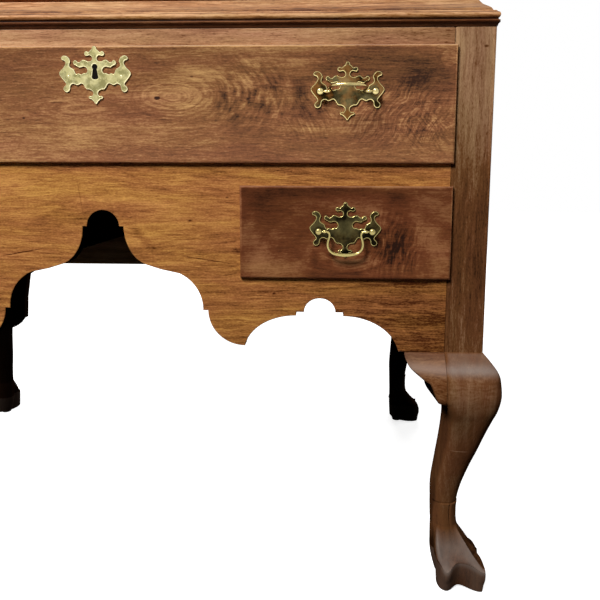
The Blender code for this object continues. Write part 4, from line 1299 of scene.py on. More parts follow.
    def rings(self) -> Array:
        """All rings from the post's top to the floor.

        Returns:
            Distances out along both case faces and a height, by ring, column and axis.
        """
        upper = np.array((CASE_TOP, CASE_TOP - EASE, KNEE_TOP + EASE))
        height = np.concatenate([upper, np.linspace(KNEE_TOP, 0.118, 96), np.linspace(0.117, self.ankle, 40)])
        turn = ramp(height, self.twist_top, self.ankle)[:, None]
        angle = self.angles() + self._twist() * turn
        radius = self._rounded(height, angle)
        radius[0] -= EASE
        radius = radius + self._panels(height[:, None], angle)
        outer, inner = self.curves(height)
        middle = np.broadcast_to(((outer + inner) / 2)[:, None], radius.shape)
        foot_r, foot_z = self._foot()
        settle = np.linspace(0.0, 1.0, len(foot_r))[:, None]
        foot_middle = middle[-1:] + (-self.foot_inset - middle[-1:]) * np.minimum(settle * 3.0, 1.0)
        back = ramp(np.arange(1, len(foot_r) + 1), self.slope_rows, 0)[:, None]
        radius = np.concatenate([radius, foot_r])
        middle = np.concatenate([middle, foot_middle])
        level = np.concatenate([np.broadcast_to(height[:, None], angle.shape), foot_z])
        world = np.concatenate([angle, self.angles() + self._twist() * back]) + math.pi / 4
        return np.stack([middle + radius * np.cos(world), middle + radius * np.sin(world), level], -1)

    def dust(self, height: Array) -> Array:
        """Painted sheen on the knee: a bell where it rounds over, some of it above and none below.

        Args:
            height: Heights.

        Returns:
            A rub value for each height.
        """
        lying = bell(height, self.shine, 0.0066)
        above = np.where(height < KNEE_TOP - 0.0010, 0.26 + 0.74 * lying, 0.0)
        return np.where(height < self.shine, lying, above)

    def wear(self, level: Array) -> Array:
        """Rub values: above zero for painted sheen and highlight, below zero for painted shade and one dark
        line.

        Painted sheen lies on the knee's outer faces and on the foot's front tongue and ridges, with a painted
        highlight along the wall's top; painted shade lies under the knee blocks, on the inner faces, on the
        foot's faces away from the light and low in the corners between toes; a dark line runs along the
        tongues' top.

        Args:
            level: Height by ring and column.

        Returns:
            A value for each point.
        """
        _, ridge, middle = self._plan()
        turned = np.degrees(self.angles())
        degrees = np.abs(turned)
        outside = ramp(degrees, 110.0, 90.0)
        # Painted shade under the knee blocks and on the inner faces, and a dark line along the tongues' top
        rub = self.dust(level) * outside - 0.5 * ramp(degrees, 62.0, 84.0) * bell(level, 0.2640, 0.0130)
        rub = rub - 0.8 * ramp(degrees, 84.0, 96.0) * (level < KNEE_TOP)
        rub = rub - 0.9 * outside * bell(level, self.panel_top + 0.0004, 0.0009)
        s = np.linspace(0.0, 1.0, self.slope_rows)[:, None]
        q = np.linspace(0.0, 1.0, self.wall_rows)[:, None]
        # On the foot: painted sheen on the tongue on the side the light falls on, painted shade on the slope
        # elsewhere, a painted highlight along the wall's top and painted shade low between toes
        front = ramp(degrees, 62.0, 52.0) * ramp(turned, -5.0, 0.0)
        tongue = 0.52 + 0.24 * ridge - 0.30 * middle * s**4
        slope = ramp(s, 0.0, 0.35) * (front * tongue - 0.5 * (1.0 - front))
        wall = 0.22 + front * 0.36 * bell(q, 0.0, 0.10) - 0.2 * middle * q
        rub[-1 - self.slope_rows - self.wall_rows : -1] = np.concatenate([slope, wall])
        return rub

    def to_case(self, rings: Array, side: Side, depth: Depth) -> Array:
        """Turn distances out from the post's middle into places in the case.

        Args:
            rings: Distances out along both case faces and a height.
            side: Which end the leg stands at.
            depth: Whether it stands in front.

        Returns:
            Points in the maker's frame.
        """
        out = CASE_HALF - POST / 2 + rings[..., 0]
        near, far = POST / 2 - rings[..., 1], CASE_DEPTH - POST / 2 + rings[..., 1]
        return np.stack([side.value * out, near if depth is Depth.FRONT else far, rings[..., 2]], -1)

    def dress(self) -> None:
        """Place all four legs."""
        rings = self.rings()
        post = (self.finishes.post, self._above_knee)
        # The back legs' darker finish is painted shade under the case
        dressing = {Depth.FRONT: (self.finishes.leg, post), Depth.BACK: (self.finishes.back_leg, None)}
        for depth, (finish, second) in dressing.items():
            for side in Side:
                name = f"leg_{depth.value}_{side.word}"
                solid = skin(self.to_case(rings, side, depth), self.wear(rings[..., 2]))
                self.bench.place(
                    f"{name}_carved", solid, finish, [name], "dark_walnut_leg", 37.0, second=second
                )

    @staticmethod
    def _above_knee(middles: Array, normals: Array) -> Array:
        """Pick the post's faces."""
        return middles[:, 2] > KNEE_TOP


@dataclass
class KneeBlock(Assembly):
    """A bracket glued beside a knee: its face carries the knee's swell on and dies into the board above."""

    leg: CabrioleLeg
    back: float = 0.020
    tip_share: float = 0.22
    saw_lean: float = 0.0060
    edge: tuple[Pair, ...] = (
        (0.0000, 0.0655), (0.0080, 0.0650), (0.0112, 0.0628), (0.0140, 0.0560), (0.0175, 0.0470),
        (0.0205, 0.0402), (0.0235, 0.0380), (0.0290, 0.0352), (0.0350, 0.0308), (0.0413, 0.0262),
        (0.0475, 0.0200), (0.0520, 0.0115), (KNEE_REACH, 0.0040),
    )

    def rings(self) -> Array:
        """Rings by distance from the leg: a back line, then the swelling face from top to lower edge.

        The face stands out by the leg's own swell times a share that falls with the distance. The back of
        the lower edge leans away by a bell, where the saw ran out of square.

        Returns:
            Distance from the leg, swell and height, by ring, column and axis.
        """
        curve = smooth_through(self.edge, 8)
        travel = np.linspace(JOINT_GAP, KNEE_REACH, 44)
        below = np.interp(travel, curve[:, 0], curve[:, 1])
        top = KNEE_TOP - JOINT_GAP
        t = np.linspace(0.0, 1.0, 26)[None, :]
        height = top - (below[:, None] - JOINT_GAP) * t
        share = 1.0 - (1.0 - self.tip_share) * (travel / KNEE_REACH) ** 1.4
        swell = self.leg.curves(height)[0] * share[:, None] - 0.0022 * ramp(t, 0.9, 1.0) ** 2
        face = np.stack([np.broadcast_to(travel[:, None], height.shape), swell, height], -1)
        back = np.full_like(travel, -self.back)
        back_top = np.stack([travel, back, np.full_like(travel, top)], -1)
        back_low = np.stack([travel + self.saw_lean * bell(travel, 0.0155, 0.0060), back, height[:, -1]], -1)
        return np.concatenate([back_top[:, None], face, back_low[:, None]], 1)

    def dress(self) -> None:
        """Place the front blocks and all four side returns."""
        away, swell, height = np.moveaxis(self.rings(), -1, 0)
        # The blocks carry the knee's painted sheen
        rub, half = self.leg.dust(height), POST / 2
        beside = np.stack([-half - away, half + swell, height], -1)
        along = np.stack([half + swell, -half - away, height], -1)
        # The front blocks' faces turned from the front take the near-black wood as painted shade
        edge, block = (self.finishes.raw_edge, turned_away), self.finishes.block
        for side in Side:
            node = f"knee_block_front_{side.word}"
            front = skin(self.leg.to_case(beside, side, Depth.FRONT), rub)
            self.bench.place(f"{node}_carved", front, block, [node], "dark_walnut_leg", second=edge)
            for depth in Depth:
                solid = skin(self.leg.to_case(along, side, depth), rub)
                name = f"knee_return_{depth.value}_{side.word}"
                self.bench.place(name, solid, block, slot="dark_walnut_leg")


@dataclass
class BackBracket(Assembly):
    """The plain bracket under the back board, leaning in to a step and then hollowed to the leg."""

    top: Pair = (0.0522, 0.3652)
    edge: tuple[Pair, ...] = (
        (0.0383, 0.2819), (0.0350, 0.2310), (0.0280, 0.2278),
        (0.0190, 0.2162), (0.0091, 0.2085), (0.0000, 0.2050),
    )
    outer: float = 0.4632
    thickness: float = 0.018
    back_face: float = 0.597

    def dress(self) -> None:
        """Place both brackets."""
        reach, height = np.array((self.top, *self.edge, (0.0, self.top[1]))).T
        loop = np.stack([self.outer - reach, height], 1)
        right = slab([loop], board_steps(self.thickness)).moved(0.0, self.back_face - self.thickness, 0.0)
        # The brackets are near-black wood: painted shade under the case
        for side, solid in ((Side.LEFT, right.mirrored()), (Side.RIGHT, right)):
            node = f"knee_block_back_{side.word}"
            self.bench.place(f"{node}_sawn", solid, self.finishes.raw_edge, [node], "dark_walnut_leg")


@dataclass
class Apron(Assembly):
    """The wide front board: keyhole, arch, notches, pendants and lobes, open at each end for a drawer."""

    end: float = 0.4632
    thickness: float = 0.020
    ease: float = 0.0005
    keyhole_centre: float = 0.5112
    keyhole_radius: float = 0.0220
    shoulder: float = 0.0280
    flare: Pair = (0.0680, 0.0536)
    arch_ease: Pair = (0.0780, 0.4530)
    arch_top: float = 0.4525
    arch_corner: float = 0.0540
    notch: Pair = (0.1347, 0.3972)
    notch_width: float = 0.0068
    pendant: Pair = (0.1917, 0.3485)
    lobe: Pair = (0.2938, 0.3964)
    lobe_half: float = 0.0213
    lobe_height: float = 0.0190
    lobe_step: Pair = (0.0108, 0.3912)
    arch_cut: float = 10.0
    knee_x: float = 0.4010

    def half_edge(self) -> Array:
        """The right half of the lower edge as arcs, from the keyhole's top to the post.

        Returns:
            The points in order.
        """
        middle, step_z = self.lobe[0], self.lobe_step[1]
        beside = self.lobe_half + self.lobe_step[0]
        left_step, right_step = middle - beside, middle + beside
        cut = math.radians(self.arch_cut)
        rises = [(step_z - low) / (1.0 - math.sin(cut)) for low in (self.pendant[1], KNEE_TOP)]
        runs = [run / math.cos(cut) for run in (left_step - self.pendant[0], self.knee_x - right_step)]
        eye, corner = (self.keyhole_radius,) * 2, (self.arch_corner,) * 2
        drop = (self.pendant[0] - self.notch[0] - self.notch_width, self.notch[1] - self.pendant[1])
        flare = (self.flare[0] - self.shoulder, self.flare[1])
        stretches = [
            arc((0.0, self.keyhole_centre), eye, 90, 0, 24),
            arc((self.flare[0], self.keyhole_centre), flare, 180, 256, 20),
            [self.arch_ease],
            arc((self.notch[0] - self.arch_corner, self.arch_top - self.arch_corner), corner, 66, 6, 24),
            [self.notch],
            arc((self.pendant[0], self.notch[1]), drop, 180, 270, 26),
            arc((left_step, step_z - rises[0]), (runs[0], rises[0]), 178 - self.arch_cut, 90, 26),
            [(left_step, self.lobe[1])],
            arc(self.lobe, (self.lobe_half, self.lobe_height), 180, 0, 32),
            [(right_step, self.lobe[1])],
            arc((right_step, step_z - rises[1]), (runs[1], rises[1]), 90, self.arch_cut, 26),
            [(self.end, KNEE_TOP)],
        ]
        return np.concatenate(stretches)

    def loop(self) -> Array:
        """The whole outline: the lower edge, the drawer notches and the top, mirrored about the middle.

        Returns:
            The points in order.
        """
        (low, high), end = SMALL_ROWS, self.end
        notch = [(end, low), (SMALL_INNER, low), (SMALL_INNER, high), (end, high), (end, LONG_ROWS[0])]
        right = np.concatenate([self.half_edge(), notch])
        return np.concatenate([right, right[:0:-1] * MIRROR])

    def dress(self) -> None:
        """Place the apron."""
        solid = slab([self.loop()], board_steps(self.thickness, self.ease))
        # The faces that don't look forward, the sawn edges and the back, take the near-black wood
        edge = (self.finishes.raw_edge, turned_away)
        self.bench.place(
            "front_apron_sawn", solid, self.finishes.apron, ["front_apron"], crease=30.0, second=edge
        )


@dataclass
class Moulding(Assembly):
    """A moulding mitred round the left side, the front and the right side.

    The section is a closed line of distances out from the case, heights above the foot and rub values,
    which paint highlight and shade; up to the quirk's height it is painted darker, as the shade under the
    bead.
    """

    name: str
    section: Array
    foot: float
    half_width: float
    front: float
    quirk: float

    def dress(self) -> None:
        """Place the moulding: its section at the two back ends and at both mitres."""
        out, up = self.section[:, 0], self.section[:, 1] + self.foot
        depths = (np.full(len(out), CASE_DEPTH), self.front - out)
        corners = ((-1.0, 0), (-1.0, 1), (1.0, 1), (1.0, 0))
        reach = self.half_width + out
        rings = [np.stack([sign * reach, depths[number], up], 1) for sign, number in corners]
        solid = skin(np.stack(rings), np.tile(self.section[:, 2], (4, 1)))
        shade_band = (self.finishes.quirk, self._dirty)
        name = f"{self.name}_run"
        self.bench.place(name, solid, self.finishes.moulding, [self.name], crease=32.0, second=shade_band)

    def _dirty(self, middles: Array, normals: Array) -> Array:
        """Pick the faces below the quirk, which take the painted shade."""
        return middles[:, 2] < self.foot + self.quirk


def rubbed(points: Any, rub: float | Sequence[float] | Array) -> Array:
    """Give section points a third column with their rub value, which on mouldings paints highlight and shade.
    """
    points = np.asarray(points, float)
    return np.column_stack([points, np.broadcast_to(rub, len(points))])


def waist_section(inner: float) -> Array:
    """Hollow, fine bead, quirk, full bead, fillet and a long slope that runs in below the upper case.

    Args:
        inner: Where the section's back stands, as a distance out from the case.

    Returns:
        The section.
    """
    slope = (
        (-0.0042, 0.0205), (-0.0062, 0.0243), (-0.0103, 0.0279), (-0.0150, 0.0315), (-0.0176, 0.0349),
        (-0.0194, 0.0376), (-0.0212, 0.0394),
    )
    # The values paint highlight and shade: a bright fine bead, bead crown and fillet edge, a dark hollow,
    # quirk and bead edges, and a slope darker low and paler high
    crown = (-0.9, -0.7, -0.5, -0.2, 0.0, 0.2, 0.4, 0.7, 1.0, 1.0, 0.7, 0.2, -0.2, -0.6, -0.8)
    stretches = [
        rubbed([(inner, 0.0), (0.0003, 0.0)], -0.6),
        rubbed(arc((0.0042, 0.0000), (0.0036, 0.0050), 170, 100, 8), np.linspace(-0.6, 0.1, 9)),
        rubbed(arc((0.0021, 0.0066), (0.0010, 0.0012), -80, 80, 8), np.linspace(0.0, 0.5, 9)),
        rubbed([(0.0012, 0.0084), (0.0010, 0.0094)], -1.0),
        rubbed(arc((0.0000, 0.0138), (0.0032, 0.0042), -72, 78, 14), crown),
        rubbed([(-0.0004, 0.0186)], -0.8),
        rubbed([(-0.0006, 0.0194), (-0.0012, 0.0200)], 1.0),
        rubbed(smooth_through(slope, 4), np.linspace(-0.7, 0.6, 25)),
        rubbed([(inner, 0.0394)], 0.0),
    ]
    return np.concatenate(stretches)


def cornice_section(inner: float) -> Array:
    """Astragal, large cove, fillet, ovolo and a square top member.

    Args:
        inner: Where the section's back stands, as a distance out from the case.

    Returns:
        The section.
    """
    # The values paint highlight and shade on each member's edges and rounds: the astragal and ovolo darker
    # low and paler high
    stretches = [
        rubbed([(inner, 0.0)], 0.0),
        rubbed(arc((0.0050, 0.0040), (0.0040, 0.0040), -90, 90, 12), np.linspace(-0.5, 0.5, 13)),
        rubbed([(0.0062, 0.0090), (0.0062, 0.0108)], (-0.6, 0.2)),
        rubbed(arc((0.0340, 0.0110), (0.0270, 0.0310), 180, 98, 22), 0.0),
        rubbed([(0.0330, 0.0430), (0.0330, 0.0470)], (0.5, -0.5)),
        rubbed(arc((0.0340, 0.0640), (0.0180, 0.0155), -88, 0, 16), np.linspace(-0.3, 0.4, 17)),
        rubbed([(0.0540, 0.0650), (0.0540, 0.0740), (inner, 0.0740)], (0.3, 0.4, 0.0)),
    ]
    return np.concatenate(stretches)


@dataclass
class CaseBoards(Assembly):
    """Rails, ends, backs and dustboards of both cases."""

    rail_thickness: float = 0.022
    side_thickness: float = 0.020
    side_arch: float = 0.3860
    arch_run: float = 0.0640
    back_bottom: float = 0.3655
    back_rebate: float = 0.003
    lower_back: float = 0.015
    upper_back: float = 0.012
    dustboard: float = 0.015
    runner: float = 0.010
    runner_ends: Pair = (0.0203, 0.5817)
    guide: float = 0.020
    upper_inset: float = 0.0320
    upper_floor: float = 0.8165
    rows: tuple[float, ...] = (0.205, 0.180, 0.155, 0.130)
    rail: float = 0.019
    frieze: float = 0.060
    top_thickness: float = 0.018

    @property
    def post_inner(self) -> float:
        """Where the posts' inner faces stand."""
        return CASE_HALF - POST

    @property
    def upper_half(self) -> float:
        """Half the upper case's width."""
        return CASE_HALF - self.upper_inset

    @property
    def upper_inner(self) -> float:
        """Where the upper ends' inner faces stand."""
        return self.upper_half - self.side_thickness

    @property
    def frieze_bottom(self) -> float:
        """Height of the frieze rail's lower edge."""
        return self.upper_floor + sum(self.rows) + self.rail * (len(self.rows) - 1)

    @property
    def top_board(self) -> float:
        """Height of the top board's underside."""
        return self.frieze_bottom + self.frieze

    def dress(self) -> None:
        """Place every board."""
        self._rails()
        self._lower_ends()
        self._backs()
        self._runners()
        self._upper()

    def _rails(self) -> None:
        """The rail above the long drawer and the frieze rail."""
        inner, finish = self.post_inner - JOINT_GAP, self.finishes.rail
        box = eased_box((-inner, 0.0, LONG_ROWS[1]), (inner, self.rail_thickness, CASE_TOP))
        self.bench.place("top_rail_planed", box, finish, ["lower_top_rail"])
        inner, front = self.upper_inner - JOINT_GAP, self.upper_inset
        high = (inner, front + self.rail_thickness, self.top_board - JOINT_GAP)
        box = eased_box((-inner, front, self.frieze_bottom), high)
        self.bench.place("frieze_rail_planed", box, finish, ["frieze_rail"])

    def _lower_ends(self) -> None:
        """The ends of the lower case, each with a low arch between the knees."""
        front, back = POST + JOINT_GAP, CASE_DEPTH - POST - JOINT_GAP
        radii, inwards = (self.arch_run, self.side_arch - KNEE_TOP), KNEE_REACH + self.arch_run
        loop = np.concatenate(
            [
                [(front, KNEE_TOP)],
                arc((front + inwards, KNEE_TOP), radii, 180, 90, 20),
                arc((back - inwards, KNEE_TOP), radii, 90, 0, 20),
                [(back, KNEE_TOP), (back, CASE_TOP), (front, CASE_TOP)],
            ]
        )
        flat = slab([loop], board_steps(self.side_thickness))
        for side in Side:
            node = f"lower_side_{side.word}"
            solid = flat.sideways(CASE_HALF - self.side_thickness, sign=side.value)
            self.bench.place(f"{node}_sawn", solid, self.finishes.end_across, [node])

    def _backs(self) -> None:
        """Both backs, each of wide boards laid across with a narrow open joint between them."""
        top = self.top_board - JOINT_GAP
        spans = (
            ("lower_back_board", self.post_inner, self.back_bottom, CASE_TOP, self.lower_back, 2),
            ("upper_back_board", self.upper_inner, CASE_TOP + JOINT_GAP, top, self.upper_back, 4),
        )
        for node, inner, low, high, thickness, count in spans:
            edges = np.linspace(low, high, count + 1)
            end, stop = inner - JOINT_GAP, CASE_DEPTH - self.back_rebate
            boards = [
                eased_box((-end, stop - thickness, start + EASE), (end, stop, finish - EASE), 0.001)
                for start, finish in zip(edges, edges[1:])
            ]
            self.bench.place(f"{node}_boards", joined(boards), self.finishes.pine, [node], "old_pine")

    def _runners(self) -> None:
        """The dustboard under the long drawer with the guides and runners of the small drawers below it."""
        inner, (start, stop) = self.post_inner - JOINT_GAP, self.runner_ends
        top, low = LONG_ROWS[0], SMALL_ROWS[0]
        under, near = top - self.dustboard, SMALL_INNER - self.guide
        parts = [eased_box((-inner, start, under), (inner, stop, top))]
        for side in Side:
            for far, bottom, height in ((SMALL_INNER, low, under), (inner, low - self.runner, low)):
                left, right = side.span(near, far)
                parts.append(eased_box((left, start, bottom), (right, stop, height)))
        # Near-black wood: painted shade inside the case
        finish = self.finishes.raw_edge
        self.bench.place("runner_frame_boards", joined(parts), finish, ["drawer_runner_frame"], "old_pine")

    def _upper(self) -> None:
        """Ends, dustboards, partition and top of the upper case."""
        front, finish, top = self.upper_inset, self.finishes.rail, self.top_board
        for side in Side:
            left, right = side.span(self.upper_inner, self.upper_half)
            box = eased_box((left, front, CASE_TOP + JOINT_GAP), (right, CASE_DEPTH, top - JOINT_GAP))
            node = f"upper_side_{side.word}"
            self.bench.place(f"{node}_planed", box, self.finishes.end_upright, [node])
        inner = self.upper_inner - JOINT_GAP
        stop = CASE_DEPTH - self.back_rebate - self.upper_back - JOINT_GAP
        level = self.upper_floor
        nodes = ["upper_bottom_board"] + [f"dustboard_{row}" for row in range(1, len(self.rows))]
        for node, row in zip(nodes, self.rows):
            box = eased_box((-inner, front, level - self.rail), (inner, stop, level))
            self.bench.place(f"{node}_planed", box, finish, [node])
            level += row + self.rail
        low = (-PARTITION_HALF, front, self.frieze_bottom - self.rows[-1] + JOINT_GAP)
        box = eased_box(low, (PARTITION_HALF, stop, self.frieze_bottom - JOINT_GAP))
        self.bench.place("partition_planed", box, finish, ["drawer_partition"])
        edges, half = np.linspace(front, CASE_DEPTH, 4), self.upper_half
        boards = [
            eased_box((-half, start, top), (half, stop, top + self.top_thickness), 0.0005)
            for start, stop in zip(edges, edges[1:])
        ]
        self.bench.place("top_planks", joined(boards), finish, ["top_board"])


@dataclass
class PullPlate:
    """A pierced brass plate with bevelled edges, sawn and filed to scrolls, ears and finials."""

    thickness: float = 0.0016
    bevel: float = 0.0010
    wear: float = 0.04
    half: tuple[Pair, ...] = (
        (0.0000, 0.0385), (0.0026, 0.0370), (0.0032, 0.0345), (0.0052, 0.0330), (0.0076, 0.0308),
        (0.0092, 0.0318), (0.0120, 0.0314), (0.0134, 0.0288), (0.0120, 0.0262), (0.0092, 0.0258),
        (0.0062, 0.0264), (0.0038, 0.0248), (0.0032, 0.0222), (0.0044, 0.0200), (0.0082, 0.0190),
        (0.0122, 0.0206), (0.0156, 0.0211), (0.0180, 0.0196), (0.0198, 0.0182), (0.0222, 0.0184),
        (0.0240, 0.0202), (0.0264, 0.0204), (0.0284, 0.0178), (0.0272, 0.0148), (0.0238, 0.0132),
        (0.0208, 0.0112), (0.0170, 0.0117), (0.0138, 0.0122), (0.0110, 0.0103), (0.0100, 0.0070),
        (0.0120, 0.0042), (0.0150, 0.0044), (0.0180, 0.0028), (0.0214, 0.0040), (0.0246, 0.0032),
        (0.0262, 0.0060), (0.0274, 0.0090), (0.0304, 0.0108), (0.0330, 0.0130), (0.0330, 0.0162),
        (0.0318, 0.0194), (0.0336, 0.0236), (0.0372, 0.0262), (0.0412, 0.0262), (0.0440, 0.0238),
        (0.0432, 0.0210), (0.0404, 0.0200), (0.0386, 0.0180), (0.0392, 0.0148), (0.0422, 0.0106),
        (0.0460, 0.0068), (0.0474, 0.0036), (0.0458, 0.0000), (0.0428, -0.0040), (0.0396, -0.0078),
        (0.0388, -0.0104), (0.0410, -0.0124), (0.0426, -0.0154), (0.0414, -0.0186), (0.0382, -0.0200),
        (0.0350, -0.0186), (0.0334, -0.0156), (0.0330, -0.0122), (0.0308, -0.0098), (0.0276, -0.0096),
        (0.0246, -0.0112), (0.0216, -0.0104), (0.0186, -0.0090), (0.0160, -0.0104), (0.0142, -0.0136),
        (0.0118, -0.0162), (0.0086, -0.0166), (0.0058, -0.0176), (0.0036, -0.0198), (0.0034, -0.0224),
        (0.0050, -0.0246), (0.0080, -0.0246), (0.0098, -0.0262), (0.0086, -0.0284), (0.0060, -0.0292),
        (0.0032, -0.0318), (0.0000, -0.0355),
    )

    def solid(self, holes: Sequence[Array] = ()) -> Solid:
        """The plate: a smooth curve through the half's points and their mirror images, raised by a slab.

        From the drawer's face outwards come a thin edge, a bright bevel, polished and painted as highlight,
        and the duller flat, patinated and painted dark as a reflection.

        Args:
            holes: Outlines of any holes.

        Returns:
            The plate.
        """
        right, t, bevel = np.array(self.half), self.thickness, self.bevel
        loop = smooth_through(np.concatenate([right, right[-2:0:-1] * MIRROR]), 4, True)
        rise = ((0.0, 0.0, 0.35), (0.0, 0.35 * t, 0.75), (0.35 * bevel, 0.75 * t, 1.0), (bevel, t, 0.95))
        rise += ((1.25 * bevel, t, self.wear),)
        return slab([loop, *holes], [(inwards, -JOINT_GAP - out, rub) for inwards, out, rub in rise])


@dataclass
class Pull:
    """A plate, two ball-headed studs and a swan-necked bail that swings between them.

    Each row of the bail's path gives its middle line in x and z and its radius there.
    """

    plate: PullPlate = field(default_factory=PullPlate)
    spacing: float = 0.0700
    stand: float = 0.0095
    neck: float = 0.0029
    collar: float = 0.0036
    head: Pair = (0.0051, 0.0046)
    stud_sides: int = 28
    wire_sides: int = 16
    path: tuple[Triple, ...] = (
        (0.0000, -0.0308, 0.00250), (0.0050, -0.0306, 0.00240), (0.0100, -0.0300, 0.00210),
        (0.0148, -0.0290, 0.00180), (0.0188, -0.0266, 0.00165), (0.0216, -0.0228, 0.00165),
        (0.0229, -0.0180, 0.00165), (0.0226, -0.0130, 0.00160), (0.0212, -0.0080, 0.00150),
        (0.0206, -0.0042, 0.00145), (0.0216, -0.0014, 0.00150), (0.0240, -0.0001, 0.00165),
        (0.0258, 0.0000, 0.00220), (0.0272, 0.0000, 0.00240), (0.0286, 0.0000, 0.00205),
        (0.0300, 0.0000, 0.00150), (0.0332, 0.0000, 0.00150),
    )

    def plate_solid(self) -> Solid:
        """The plate with its studs; each stud is a neck, a collar and a round head turned about its axis.

        Returns:
            The plate and both studs.
        """
        base, s = JOINT_GAP + 0.5 * self.plate.thickness, self.stand
        neck = [(self.collar, base), (self.collar, base + 0.0016), (self.neck, base + 0.0022)]
        neck += [(self.neck, s - 0.0044), (self.collar, s - 0.0036)]
        profile = np.concatenate([neck, arc((0.0, s), self.head, -38, 88, 18)])
        knob = turned_knob(profile, self.stud_sides)
        # Painted highlight and shade: bright tip, darker shoulder, bright collar under the head and a dark
        # neck
        heights = (-0.0040, -0.0034, -0.0028, -0.0016, 0.0016, 0.0036)
        values = (0.0, 0.9, 0.6, -0.3, 0.0, 0.8)
        knob.rub = np.repeat(np.interp(profile[:, 1] - s, heights, values), self.stud_sides)
        studs = [knob.moved(side.value * self.spacing / 2, 0.0, 0.0) for side in Side]
        return joined([self.plate.solid(), *studs])

    def bail_solid(self) -> Solid:
        """The bail hanging from its pivot: a wire that is full at the grip and knuckled at its ends.

        Returns:
            The bail.
        """
        half = np.array(self.path)
        whole = np.concatenate([half[:0:-1] * np.array((-1.0, 1.0, 1.0)), half])
        x, z, radii = smooth_through(whole, 5).T
        points = np.stack([x, np.zeros(len(x)), z], 1)
        solid = tube(points, radii, self.wire_sides)
        # Painted highlight and shade: the outer side is bright, the side towards the drawer stays dull
        offset = solid.points - np.repeat(points, self.wire_sides, 0)
        offset /= np.linalg.norm(offset, axis=1, keepdims=True)
        solid.rub = np.clip(0.62 - 0.46 * offset[:, 1] - 0.06 * offset[:, 2], -0.2, 1.0)
        return solid


@dataclass
class Escutcheon:
    """The keyhole plate: a pull's plate with a keyhole, two nails and the dark hole behind."""

    plate: PullPlate = field(default_factory=PullPlate)
    nail_x: float = 0.0350
    nail: Pair = (0.0016, 0.0009)

    def keyhole(self) -> Array:
        """A round eye over a slot that widens to a rounded foot."""
        eye = arc((0.0, 0.0121), (0.0035, 0.0035), -50, 230, 20)
        return np.concatenate([eye, arc((0.0, -0.0010), (0.0041, 0.0026), 185, 355, 12)])

    def metal(self) -> Solid:
        """The plate and its two domed nail heads.

        Returns:
            The brass.
        """
        nail = turned_knob(arc((0.0, self.plate.thickness), self.nail, 0, 86, 8), 16)
        nail.rub = np.full(len(nail.points), 0.5)
        nails = [nail.moved(side.value * self.nail_x, 0.0, 0.0) for side in Side]
        return joined([self.plate.solid([self.keyhole()]), *nails])

    def hole(self) -> Solid:
        """A thin dark piece that fills the keyhole at the drawer's face."""
        return slab([self.keyhole()], [(0.0, -0.0001, 0.0), (0.0, -0.0004, 0.0)])


